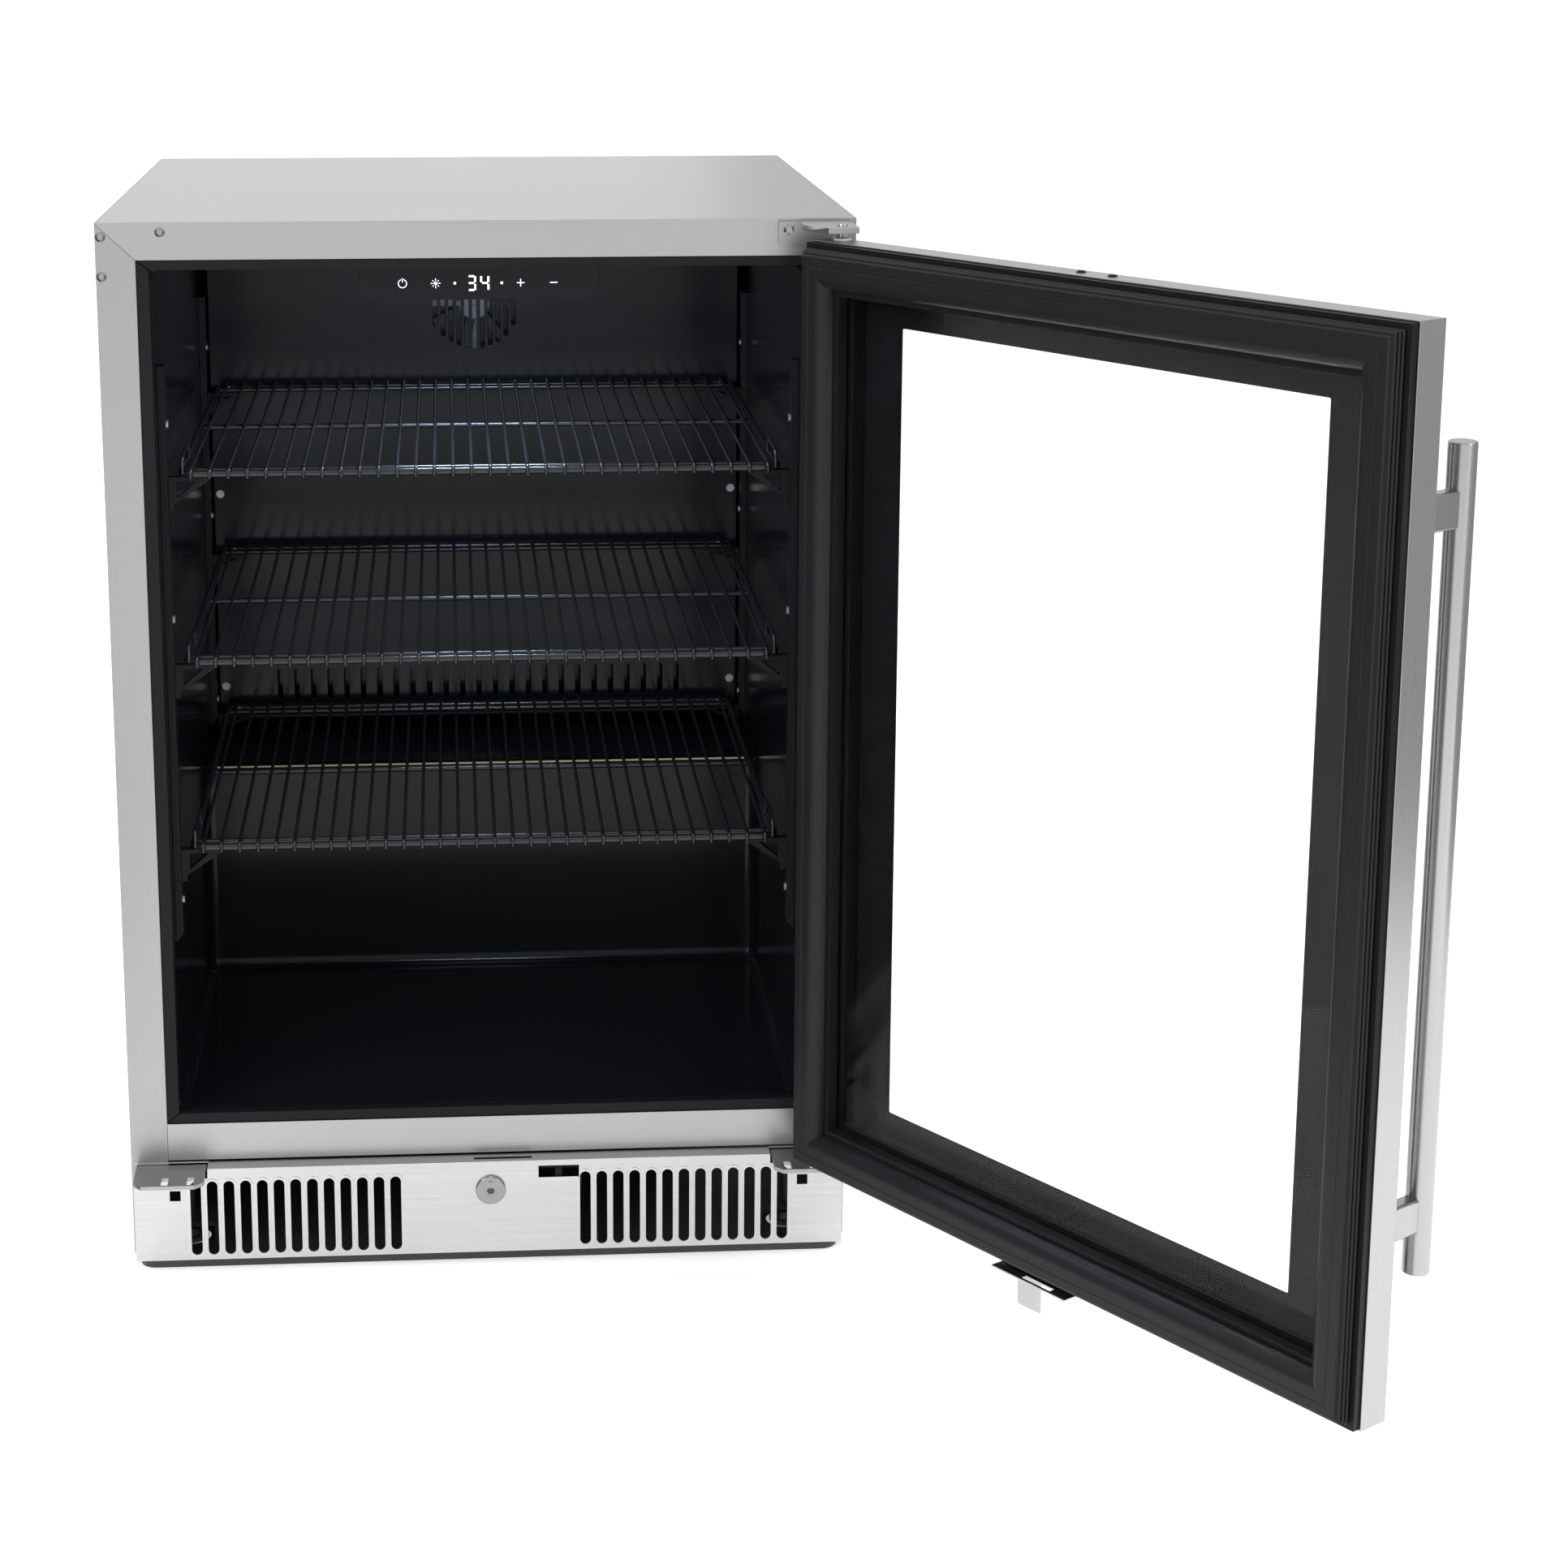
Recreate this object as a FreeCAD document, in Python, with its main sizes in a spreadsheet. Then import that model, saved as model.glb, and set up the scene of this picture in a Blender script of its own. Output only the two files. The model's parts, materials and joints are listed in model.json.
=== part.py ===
import FreeCAD, Part
import Sketcher
import math
import os

V = FreeCAD.Vector

# Every size is in millimetres. X runs to the right, Y to the back and Z up, with the origin on
# the floor under the middle of the cabinet. The door pieces are drawn closed and then turned
# about the hinge axis into the open rest position.
SIZES = {
    # Cabinet shell
    "width": 597.0,
    "depth": 600.0,
    "height": 872.0,
    "steel_sheet": 0.8,
    "side_flange": 30.7,
    "top_flange": 29.4,
    "shell_bottom": 9.7,
    "edge_round": 2.4,
    "rear_flange": 12.0,
    "top_rear_flange": 16.0,
    "rail_bottom": 91.6,
    "rail_top": 123.7,
    "joint_gap": 0.15,
    # Cabin
    "side_wall": 41.0,
    "roof_wall": 37.5,
    "floor_height": 132.6,
    "cabin_depth": 512.0,
    "hump_depth": 364.0,
    "hump_height": 330.0,
    "hump_wall": 40.0,
    "liner_sheet": 2.0,
    "liner_round": 9.0,
    "breaker_depth": 12.0,
    "foam_bottom": 92.5,
    # Base
    "pan_sheet": 1.2,
    "pan_side_inset": 5.0,
    "pan_front_reach": 9.0,
    "pan_height": 26.0,
    "pan_round": 14.0,
    "foot_inset_x": 42.0,
    "foot_inset_y": 52.0,
    "foot_disc": 15.0,
    "foot_hole": 18.0,
    "foot_stud": 4.9,
    "stud_clearance": 0.1,
    # Control panel
    "panel_width": 192.0,
    "panel_drop": 29.5,
    "panel_corner": 12.0,
    "panel_setback": 35.0,
    "panel_depth": 62.0,
    # Shelves
    "shelf_top_drop": 204.4,
    "shelf_middle_share": 0.50224,
    "shelf_lower_z": 355.0,
    "shelf_side_gap": 13.5,
    "shelf_setback": 25.0,
    "shelf_depth": 455.0,
    "rim_wire": 3.0,
    "deck_wire": 1.5,
    "wire_margin": 8.5,
    "wire_count": 32,
    "guard_rise": 11.0,
    "rail_standoff": 6.1,
    "rail_width": 14.0,
    "shelf_rail_drop": 117.4,
    "front_rail_bottom": 272.6,
    "rear_rail_bottom": 342.0,
    "front_rail_setback": 30.0,
    "rear_rail_setback": 463.0,
    "bracket_reach": 33.0,
    "front_bracket_drop": 28.0,
    "rear_bracket_drop": 20.0,
    "shelf_gap": 0.4,
    # Evaporator side
    "cover_side_gap": 7.5,
    "cover_depth": 22.0,
    "cover_sheet": 1.5,
    "fan_radius": 42.0,
    "fan_drop": 130.0,
    # Kick plate
    "kick_inset": 3.0,
    "kick_reach": 17.0,
    "kick_top": 90.3,
    "kick_sheet": 1.2,
    "notch_inset": 61.0,
    "notch_bottom": 82.0,
    "vent_pitch": 13.8,
    "vent_count": 13,
    "vent_inset": 50.8,
    "vent_radius": 4.5,
    "vent_bottom": 14.4,
    "vent_top": 79.6,
    "vent_rim": 2.0,
    "rim_rise": 0.8,
    "square_hole": 9.0,
    "square_hole_inset": 33.9,
    "square_hole_z": 67.0,
    "lock_z": 65.6,
    "lock_cap": 12.5,
    "lock_barrel": 10.5,
    "lock_plug": 5.0,
    "lock_clearance": 0.08,
    "cam_reach": 26.8,
    # Door, drawn closed; reach is measured forward from the cabinet's front face
    "door_side_gap": 1.5,
    "door_bottom": 93.0,
    "door_top_gap": 13.0,
    "door_face": 46.0,
    "door_side_start": 19.0,
    "door_sheet": 1.2,
    "door_border": 52.0,
    "inner_inset": 1.4,
    "inner_start": 13.0,
    "glass_lip": 5.0,
    "inner_step": 22.0,
    "glass_edge": 35.0,
    "pane": 4.0,
    "spacer_width": 8.0,
    "outer_pane_back": 39.7,
    "outer_pane": 5.0,
    "glass_fit": 0.3,
    "border_inset": 86.0,
    "border_low_inset": 65.0,
    "border_high_inset": 62.0,
    "border_round": 1.5,
    "print_sheet": 0.2,
    "gasket_inset": 9.0,
    "gasket_width": 20.0,
    "gasket_start": 1.0,
    "gasket_bellows": 9.0,
    # Hinges
    "hinge_inset": 16.0,
    "hinge_setback": 8.0,
    "pin_radius": 4.0,
    "pin_clearance": 0.05,
    "bush_radius": 6.0,
    "bush_length": 16.0,
    "open_angle": 123.7,
    # Handle
    "handle_radius": 10.0,
    "handle_trim": 88.0,
    "handle_standoff": 52.0,
    "handle_edge": 23.0,
    "post_inset": 45.0,
    "post_wide": 12.0,
    "post_tall": 26.0,
}


class Size:
    """A length together with the sheet expression that drives it."""

    def __init__(self, value, text):
        self.value = value
        self.text = text

    def _with(self, other, sign, value):
        return Size(value, "(%s %s %s)" % (self.text, sign, sized(other).text))

    def __add__(self, other):
        return self._with(other, "+", self.value + sized(other).value)

    def __sub__(self, other):
        return self._with(other, "-", self.value - sized(other).value)

    def __mul__(self, other):
        return self._with(other, "*", self.value * sized(other).value)

    def __truediv__(self, other):
        return self._with(other, "/", self.value / sized(other).value)

    def __radd__(self, other):
        return sized(other) + self

    def __rsub__(self, other):
        return sized(other) - self

    def __rmul__(self, other):
        return sized(other) * self

    def __neg__(self):
        return sized(0.0) - self


def sized(value):
    """A Size as it is, or a plain number as one."""
    if isinstance(value, Size):
        return value
    return Size(float(value), "(%r)" % float(value))


def write_sheet():
    """Fills the sheet with a name and a plain number on each row."""
    sheet = doc.addObject("Spreadsheet::Sheet", "dims")
    for row, (name, value) in enumerate(SIZES.items(), 1):
        sheet.set("A%d" % row, name)
        sheet.set("B%d" % row, str(value))
        sheet.setAlias("B%d" % row, name)
    return sheet


def cell(name):
    """The Size held by one named cell."""
    return Size(float(SIZES[name]), "dims.%s" % name)


# ---- Building blocks ----------------------------------------------------------------------

AXIS_TURN = {
    "X": FreeCAD.Rotation(V(0, 1, 0), 90),
    "Y": FreeCAD.Rotation(V(1, 0, 0), -90),
    "Z": FreeCAD.Rotation(),
}


def bind(obj, path, value):
    """Ties one property of an object to the sheet."""
    obj.setExpression(path, sized(value).text)


def put_at(obj, x, y, z, turn=FreeCAD.Rotation()):
    """Places an object by its corner or axis start, tied to the sheet."""
    obj.Placement = FreeCAD.Placement(V(), turn)
    bind(obj, "Placement.Base.x", x)
    bind(obj, "Placement.Base.y", y)
    bind(obj, "Placement.Base.z", z)


def box(name, x, y, z):
    """A block between pairs of coordinates."""
    block = doc.addObject("Part::Box", name)
    bind(block, "Length", x[1] - x[0])
    bind(block, "Width", y[1] - y[0])
    bind(block, "Height", z[1] - z[0])
    put_at(block, x[0], y[0], z[0])
    return block


def rod(name, axis, start, radius, length):
    """A round bar from its start point along an axis."""
    bar = doc.addObject("Part::Cylinder", name)
    bind(bar, "Radius", radius)
    bind(bar, "Height", length)
    put_at(bar, start[0], start[1], start[2], AXIS_TURN[axis])
    return bar


def cone(name, axis, start, radius, far_radius, length):
    """A taper from its start point along an axis."""
    taper = doc.addObject("Part::Cone", name)
    bind(taper, "Radius1", radius)
    bind(taper, "Radius2", far_radius)
    bind(taper, "Height", length)
    put_at(taper, start[0], start[1], start[2], AXIS_TURN[axis])
    return taper


def fuse(name, *pieces):
    """One solid from pieces that overlap or share a face."""
    joined = doc.addObject("Part::MultiFuse", name)
    joined.Shapes = list(pieces)
    joined.Refine = True
    return joined


def cut(name, base, *tools):
    """A base with every tool taken out of it."""
    result = doc.addObject("Part::Cut", name)
    result.Base = base
    result.Tool = tools[0] if len(tools) == 1 else fuse(name + "_tools", *tools)
    result.Refine = True
    return result


def group(name, *pieces):
    """Separate solids that share one node."""
    together = doc.addObject("Part::Compound", name)
    together.Links = list(pieces)
    return together


def rounded(name, base, radius, picks):
    """A base whose edges chosen by a test are rounded."""
    doc.recompute()
    edges = [i for i, e in enumerate(base.Shape.Edges, 1) if picks(e)]
    result = doc.addObject("Part::Fillet", name)
    result.Base = base
    value = sized(radius).value
    result.Edges = [(i, value, value) for i in edges]
    return result


def runs_along(edge, axis):
    """True if a straight edge lies along an axis."""
    if edge.Curve.TypeId != "Part::GeomLine":
        return False
    direction = edge.Curve.Direction
    return abs(getattr(direction, axis.lower())) > 0.999


def middle(edge):
    """The point halfway along an edge."""
    return edge.valueAt((edge.FirstParameter + edge.LastParameter) / 2)


# ---- Sketched bodies ----------------------------------------------------------------------

# Which way each plane's own normal runs along its world axis.
NORMAL_SIGN = {"XY_Plane": 1, "XZ_Plane": -1, "YZ_Plane": 1}


def body(name):
    return doc.addObject("PartDesign::Body", name)


def sketch(owner, role, level):
    """A sketch on one of the body's own planes, moved along the plane's world axis."""
    flat = owner.newObject("Sketcher::SketchObject", owner.Name + "_sketch")
    plane = [f for f in owner.Origin.OriginFeatures if f.Role == role][0]
    flat.AttachmentSupport = [(plane, "")]
    flat.MapMode = "FlatFace"
    bind(flat, "AttachmentOffset.Base.z", NORMAL_SIGN[role] * level)
    return flat


def pin_down(flat, geometry, position, x, y):
    """Holds a sketch point at sheet-driven coordinates."""
    for kind, value in (("DistanceX", x), ("DistanceY", y)):
        value = sized(value)
        index = flat.addConstraint(
            Sketcher.Constraint(kind, -1, 1, geometry, position, value.value)
        )
        flat.setExpression("Constraints[%d]" % index, value.text)


def polygon(flat, points):
    """A closed outline through sheet-driven corners."""
    corners = [V(sized(x).value, sized(y).value, 0) for x, y in points]
    first = flat.GeometryCount
    for i, corner in enumerate(corners):
        flat.addGeometry(Part.LineSegment(corner, corners[(i + 1) % len(corners)]))
    for i in range(len(corners)):
        flat.addConstraint(
            Sketcher.Constraint("Coincident", first + i, 2, first + (i + 1) % len(corners), 1)
        )
    for i, (x, y) in enumerate(points):
        pin_down(flat, first + i, 1, x, y)
    return flat


def rectangle(flat, x, y):
    return polygon(flat, [(x[0], y[0]), (x[1], y[0]), (x[1], y[1]), (x[0], y[1])])


def ring(flat, x, y, radius):
    """A circle with a sheet-driven centre and radius."""
    centre = V(sized(x).value, sized(y).value, 0)
    index = flat.addGeometry(Part.Circle(centre, V(0, 0, 1), sized(radius).value))
    pin_down(flat, index, 3, x, y)
    number = flat.addConstraint(Sketcher.Constraint("Radius", index, sized(radius).value))
    flat.setExpression("Constraints[%d]" % number, sized(radius).text)
    return flat


def slot(flat, x, y, radius):
    """An upright round-ended slot from y[0] to y[1]."""
    r = sized(radius).value
    cx = sized(x).value
    low = sized(y[0] + radius).value
    high = sized(y[1] - radius).value
    up = V(0, 0, 1)
    top = flat.addGeometry(Part.ArcOfCircle(Part.Circle(V(cx, high, 0), up, r), 0, math.pi))
    bottom = flat.addGeometry(
        Part.ArcOfCircle(Part.Circle(V(cx, low, 0), up, r), math.pi, 2 * math.pi)
    )
    left = flat.addGeometry(Part.LineSegment(V(cx - r, high, 0), V(cx - r, low, 0)))
    right = flat.addGeometry(Part.LineSegment(V(cx + r, low, 0), V(cx + r, high, 0)))
    for a, end_a, b, end_b in (
        (top, 2, left, 1),
        (left, 2, bottom, 1),
        (bottom, 2, right, 1),
        (right, 2, top, 1),
    ):
        flat.addConstraint(Sketcher.Constraint("Tangent", a, end_a, b, end_b))
    pin_down(flat, top, 3, x, y[1] - radius)
    pin_down(flat, bottom, 3, x, y[0] + radius)
    number = flat.addConstraint(Sketcher.Constraint("Radius", top, r))
    flat.setExpression("Constraints[%d]" % number, sized(radius).text)
    return flat


def pad(owner, flat, length, both=False):
    """Adds a sketch's area along its plane's normal, or evenly to both sides."""
    feature = owner.newObject("PartDesign::Pad", owner.Name + "_pad")
    feature.Profile = flat
    bind(feature, "Length", length)
    if both:
        feature.SideType = "Symmetric"
    flat.Visibility = False
    return feature


def pocket(owner, flat, length, both=False):
    """Cuts a sketch's area against its plane's normal, and makes sure that it does cut."""
    doc.recompute()
    before = owner.Shape.Volume
    feature = owner.newObject("PartDesign::Pocket", owner.Name + "_pocket")
    feature.Profile = flat
    bind(feature, "Length", length)
    if both:
        feature.SideType = "Symmetric"
    doc.recompute()
    if not owner.Shape.Volume < before - 1e-3:
        raise RuntimeError("pocket cuts nothing: " + feature.Name)
    return feature


def panel(name, role, level, length, draw):
    """A body with one padded sketch."""
    owner = body(name)
    pad(owner, draw(sketch(owner, role, level)), length)
    return owner


def across(name, points, half):
    """A body with a side profile carried evenly across the width."""
    owner = body(name)
    pad(owner, polygon(sketch(owner, "YZ_Plane", sized(0.0)), points), half * 2.0, both=True)
    return owner


def place_in_line(owner, originals, length, count):
    """Repeats features along X."""
    row = owner.newObject("PartDesign::LinearPattern", owner.Name + "_row")
    row.Originals = originals
    row.Direction = (originals[0].Profile[0], ["H_Axis"])
    bind(row, "Length", length)
    bind(row, "Occurrences", count)
    owner.Tip = row
    return row


def ring_frame(name, levels, outer, inner):
    """A rectangular frame lying in the XZ plane between two Y levels."""
    plate = box(name + "_plate", outer[0], levels, outer[1])
    deep = (levels[0] - 1.0, levels[1] + 1.0)
    return cut(name, plate, box(name + "_hole", inner[0], deep, inner[1]))


def tube_shape(points, bend, radius):
    """A round tube through points, with an arc at each corner."""
    edges = []
    start = points[0]
    for before, corner, after in zip(points, points[1:], points[2:]):
        back = (before - corner).normalize()
        ahead = (after - corner).normalize()
        half = back.getAngle(ahead) / 2
        reach = bend / math.tan(half)
        enter = corner + back * reach
        leave = corner + ahead * reach
        inward = (back + ahead).normalize()
        mid = corner + inward * (bend / math.sin(half) - bend)
        edges.append(Part.LineSegment(start, enter).toShape())
        edges.append(Part.Arc(enter, mid, leave).toShape())
        start = leave
    edges.append(Part.LineSegment(start, points[-1]).toShape())
    spine = Part.Wire(edges)
    heading = (points[1] - points[0]).normalize()
    profile = Part.Wire([Part.Circle(points[0], heading, radius).toShape()])
    return spine.makePipeShell([profile], True, False)


def feature(name, shape):
    """A document object that holds a computed shape."""
    obj = doc.addObject("Part::Feature", name)
    obj.Shape = shape
    return obj


doc = FreeCAD.newDocument("fridge")
dims = write_sheet()
doc.recompute()

half = cell("width") / 2.0
front = -cell("depth") / 2.0
rear = cell("depth") / 2.0
height = cell("height")
sheet = cell("steel_sheet")
gap = cell("joint_gap")
cabin_half = half - cell("side_wall")
cabin_top = height - cell("roof_wall")
cabin_back = front + cell("cabin_depth")
cabin_floor = cell("floor_height")
hump_front = front + cell("hump_depth")
hump_top = cell("hump_height")
liner = cell("liner_sheet")
flange_inner = half - cell("side_flange")
flange_under = height - cell("top_flange")
machine_front = hump_front + cell("hump_wall")
machine_top = hump_top - cell("hump_wall")
nodes = []


def node(obj, label=None):
    """Marks a finished piece for export under its own name."""
    obj.Label = label or obj.Name
    nodes.append(obj)
    return obj


# ---- Cabinet shell ------------------------------------------------------------------------


def side_panel(name, side):
    """A folded steel side: outer sheet, front flange and a short rear flange."""
    outer = half * side
    skin = (half - sheet) * side
    flange = flange_inner * side
    back = (half - cell("rear_flange")) * side
    owner = body(name)
    flat = sketch(owner, "XY_Plane", cell("shell_bottom"))
    polygon(
        flat,
        [
            (outer, front),
            (outer, rear - sheet * 2.0),
            (back, rear - sheet * 2.0),
            (back, rear - sheet * 3.0),
            (skin, rear - sheet * 3.0),
            (skin, front + sheet),
            (flange, front + sheet),
            (flange, front),
        ],
    )
    pad(owner, flat, height - cell("shell_bottom"))
    # The front flange ends in a mitre under the top panel's, and the rear one below it.
    corner = sketch(owner, "XZ_Plane", front)
    polygon(
        corner,
        [
            (skin, height + 1.0),
            (flange - 1.0 * side, height + 1.0),
            (flange - 1.0 * side, flange_under - gap),
            (flange, flange_under - gap),
            (skin, height - sheet * 2.0 - gap),
        ],
    )
    pocket(owner, corner, sheet)
    top_end = sketch(owner, "XY_Plane", height)
    rectangle(top_end, (skin, back - 1.0 * side), (rear - 6.0, rear))
    pocket(owner, top_end, cell("top_rear_flange") + gap)
    return owner


for label, side in (("left_side_panel", -1.0), ("right_side_panel", 1.0)):
    node(side_panel(label, side))

top_sheet = across(
    "top_panel",
    [
        (front, flange_under),
        (front, height),
        (rear - sheet * 2.0, height),
        (rear - sheet * 2.0, height - cell("top_rear_flange")),
        (rear - sheet * 3.0, height - cell("top_rear_flange")),
        (rear - sheet * 3.0, height - sheet),
        (front + sheet, height - sheet),
        (front + sheet, flange_under),
    ],
    half - sheet - gap,
)
mitre = sketch(top_sheet, "XZ_Plane", front)
for side in (-1.0, 1.0):
    polygon(
        mitre,
        [
            ((half + 2.0) * side, height - sheet),
            ((half + 2.0) * side, flange_under - 2.0),
            (flange_inner * side, flange_under - 2.0),
            (flange_inner * side, flange_under),
            ((half - sheet * 0.5) * side, height - sheet),
        ],
    )
pocket(top_sheet, mitre, sheet)
node(top_sheet)

rail_lip = front + 14.0
node(
    across(
        "lower_front_rail",
        [
            (front, cell("rail_bottom")),
            (front, cell("rail_top")),
            (rail_lip, cell("rail_top")),
            (rail_lip, cell("rail_top") - sheet),
            (front + sheet, cell("rail_top") - sheet),
            (front + sheet, cell("rail_bottom") + sheet),
            (rail_lip, cell("rail_bottom") + sheet),
            (rail_lip, cell("rail_bottom")),
        ],
        flange_inner - gap,
    )
)
node(
    box(
        "back_panel",
        (-half + 1.0, half - 1.0),
        (rear - sheet * 2.0 + gap, rear - sheet),
        (machine_top + 6.0, height - 1.0),
    )
)

# ---- Base pan and levelling feet ----------------------------------------------------------

pan_half = half - cell("pan_side_inset")
pan_front = front - cell("pan_front_reach")
pan_rear = rear - 3.0
foot_x = half - cell("foot_inset_x")
foot_front = front + cell("foot_inset_y")
foot_rear = rear - cell("foot_inset_y")
foot_places = [
    ("front_left", -foot_x, foot_front),
    ("front_right", foot_x, foot_front),
    ("rear_left", -foot_x, foot_rear),
    ("rear_right", foot_x, foot_rear),
]


def pan_block(name, inset, low):
    """The pan's outline with round upright corners, drawn in by an inset."""
    block = box(
        name + "_block",
        (-pan_half + inset, pan_half - inset),
        (pan_front + inset, pan_rear - inset),
        (low, cell("pan_height") + sized(inset) * 4.0),
    )
    radius = cell("pan_round") - inset
    return rounded(name, block, radius, lambda e: runs_along(e, "Z"))


pan_cuts = [pan_block("pan_inside", cell("pan_sheet"), cell("pan_sheet"))]
pan_cuts.append(
    box(
        "pan_low_lip",
        (-half, half),
        (pan_front - 1.0, front + 4.0),
        (cell("shell_bottom") - 0.4, cell("pan_height") + 1.0),
    )
)
for label, x, y in foot_places:
    pan_cuts.append(
        rod("pan_hole_" + label, "Z", (x, y, sized(-1.0)), cell("foot_hole"), sized(4.0))
    )
pan_shell = cut("pan_shell", pan_block("pan_outside", sized(0.0), sized(0.0)), *pan_cuts)
pan_parts = [pan_shell]
for label, x, y in foot_places:
    bridge = box(
        "bridge_" + label, (x - 26.0, x + 26.0), (y - 14.0, y + 14.0), (sized(0.6), sized(19.0))
    )
    under = box(
        "bridge_gap_" + label,
        (x - 22.0, x + 22.0),
        (y - 15.0, y + 15.0),
        (sized(0.0), sized(15.0)),
    )
    thread = rod(
        "bridge_bore_" + label,
        "Z",
        (x, y, sized(10.0)),
        cell("foot_stud") + cell("stud_clearance"),
        sized(12.0),
    )
    pan_parts.append(cut("bridge_plate_" + label, bridge, under, thread))
node(fuse("base_pan", *pan_parts))

for label, x, y in foot_places:
    disc = rod("foot_disc_" + label, "Z", (x, y, sized(0.0)), cell("foot_disc"), sized(5.0))
    hub = cone("foot_hub_" + label, "Z", (x, y, sized(5.0)), sized(11.0), sized(7.5), sized(5.0))
    stud = rod("foot_stud_" + label, "Z", (x, y, sized(9.0)), cell("foot_stud"), sized(48.0))
    node(fuse("foot_" + label, disc, hub, stud))

# ---- Liner, foam and breaker strips -------------------------------------------------------


def cabin_block(name, grow, front_y):
    """The cabin's stepped volume, grown outward by a wall."""
    x = (-cabin_half - grow, cabin_half + grow)
    main = box(
        name + "_main",
        x,
        (front_y, hump_front + grow),
        (cabin_floor - grow, cabin_top + grow),
    )
    upper = box(
        name + "_upper",
        x,
        (front_y, cabin_back + grow),
        (hump_top - grow, cabin_top + grow),
    )
    return fuse(name, main, upper)


liner_front = front + cell("breaker_depth")
cabin_space = rounded(
    "cabin_space",
    cabin_block("cabin_inner", sized(0.0), front - 4.0),
    cell("liner_round"),
    lambda e: middle(e).y > (front - 3.9).value,
)
node(cut("inner_liner", cabin_block("liner_block", liner, liner_front), cabin_space))

foam_front = front + sheet
foam_half = half - sheet
foam_block = box(
    "foam_block",
    (-foam_half, foam_half),
    (foam_front, rear - sheet * 3.0),
    (cell("foam_bottom"), height - sheet),
)
breaker_x = flange_inner - gap
breaker_low = cell("rail_top") + gap
breaker_high = flange_under - gap
breaker_room = box(
    "breaker_room",
    (-flange_inner, flange_inner),
    (foam_front - 1.0, liner_front),
    (cell("rail_top"), flange_under),
)
rail_room = box(
    "rail_room",
    (-flange_inner, flange_inner),
    (foam_front - 1.0, rail_lip),
    (cell("rail_bottom") - 5.0, cell("rail_top")),
)
machine_room = box(
    "machine_room",
    (-half, half),
    (machine_front, rear + 5.0),
    (cell("foam_bottom") - 5.0, machine_top),
)
node(
    cut(
        "insulation_foam",
        foam_block,
        cabin_block("foam_hollow", liner, liner_front),
        breaker_room,
        rail_room,
        machine_room,
    )
)

strip_outer = (breaker_x, breaker_low, breaker_high)
strip_inner = (cabin_half, cabin_floor, cabin_top)


def breaker_strip(name, corners):
    """One mitred strip between four corners in the XZ plane."""
    owner = body(name)
    flat = sketch(owner, "XZ_Plane", liner_front - 0.1)
    pad(owner, polygon(flat, corners), cell("breaker_depth") - 1.4)
    return owner


strips = []
for side in (-1.0, 1.0):
    strips.append(
        breaker_strip(
            "breaker_side_%d" % (side + 1),
            [
                (breaker_x * side, breaker_low + gap),
                (cabin_half * side, cabin_floor + gap),
                (cabin_half * side, cabin_top - gap),
                (breaker_x * side, breaker_high - gap),
            ],
        )
    )
for label, outer_z, inner_z in (
    ("bottom", breaker_low, cabin_floor),
    ("top", breaker_high, cabin_top),
):
    strips.append(
        breaker_strip(
            "breaker_" + label,
            [
                (-breaker_x + gap, outer_z),
                (-cabin_half + gap, inner_z),
                (cabin_half - gap, inner_z),
                (breaker_x - gap, outer_z),
            ],
        )
    )
node(group("breaker_strips", *strips))

# ---- Control panel and cabin light --------------------------------------------------------

panel_half = cell("panel_width") / 2.0
panel_low = cabin_top - cell("panel_drop")
corner = cell("panel_corner")
panel_front = front + cell("panel_setback")
panel_back = panel_front + cell("panel_depth")


def panel_outline(inset):
    """The control panel's front outline, drawn in by an inset."""
    side = panel_half - inset
    low = panel_low + inset
    high = cabin_top - 0.5
    return [
        (-side, high),
        (-side, low + corner),
        (-side + corner, low),
        (side - corner, low),
        (side, low + corner),
        (side, high),
    ]


housing = body("control_housing")
pad(
    housing,
    polygon(sketch(housing, "XZ_Plane", panel_back), panel_outline(sized(0.0))),
    cell("panel_depth") - 2.5,
)
room = sketch(housing, "XZ_Plane", panel_front + 2.5)
rectangle(room, (-panel_half + 6.0, panel_half - 6.0), (panel_low + 14.0, cabin_top - 2.5))
pocket(housing, room, cell("panel_depth") - 6.0)
lens_room = sketch(housing, "XY_Plane", panel_low + 3.0)
rectangle(lens_room, (sized(-62.0), sized(62.0)), (panel_back - 30.0, panel_back - 12.0))
pocket(housing, lens_room, sized(4.0))
node(housing)

node(
    panel(
        "control_fascia",
        "XZ_Plane",
        panel_front + 2.4,
        sized(2.4),
        lambda flat: polygon(flat, panel_outline(sized(0.4))),
    )
)
node(
    box(
        "control_board",
        (-panel_half + 12.0, panel_half - 12.0),
        (panel_front + 5.0, panel_front + 8.0),
        (panel_low + 14.2, cabin_top - 3.0),
    )
)
node(
    box(
        "cabin_light",
        (sized(-61.5), sized(61.5)),
        (panel_back - 29.5, panel_back - 12.5),
        (panel_low - 0.6, panel_low + 2.9),
    )
)

icon_z = panel_low + 13.5
print_y = (panel_front - 0.25, panel_front - 0.02)


def bar(name, x, z, wide, tall):
    """A flat printed bar on the fascia."""
    return box(
        name,
        (sized(x - wide / 2), sized(x + wide / 2)),
        print_y,
        (icon_z + (z - tall / 2), icon_z + (z + tall / 2)),
    )


def disc(name, x, z, radius):
    """A flat printed dot on the fascia."""
    start = (sized(x), print_y[0], icon_z + z)
    return rod(name, "Y", start, sized(radius), print_y[1] - print_y[0])


POWER_X, LAMP_X, PLUS_X, MINUS_X = -60.6, -34.2, 33.6, 60.1
power_ring = cut(
    "power_ring",
    disc("power_disc", POWER_X, 0.0, 3.6),
    disc("power_hole", POWER_X, 0.0, 3.0),
    bar("power_break", POWER_X, 3.0, 2.2, 3.0),
)


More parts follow.
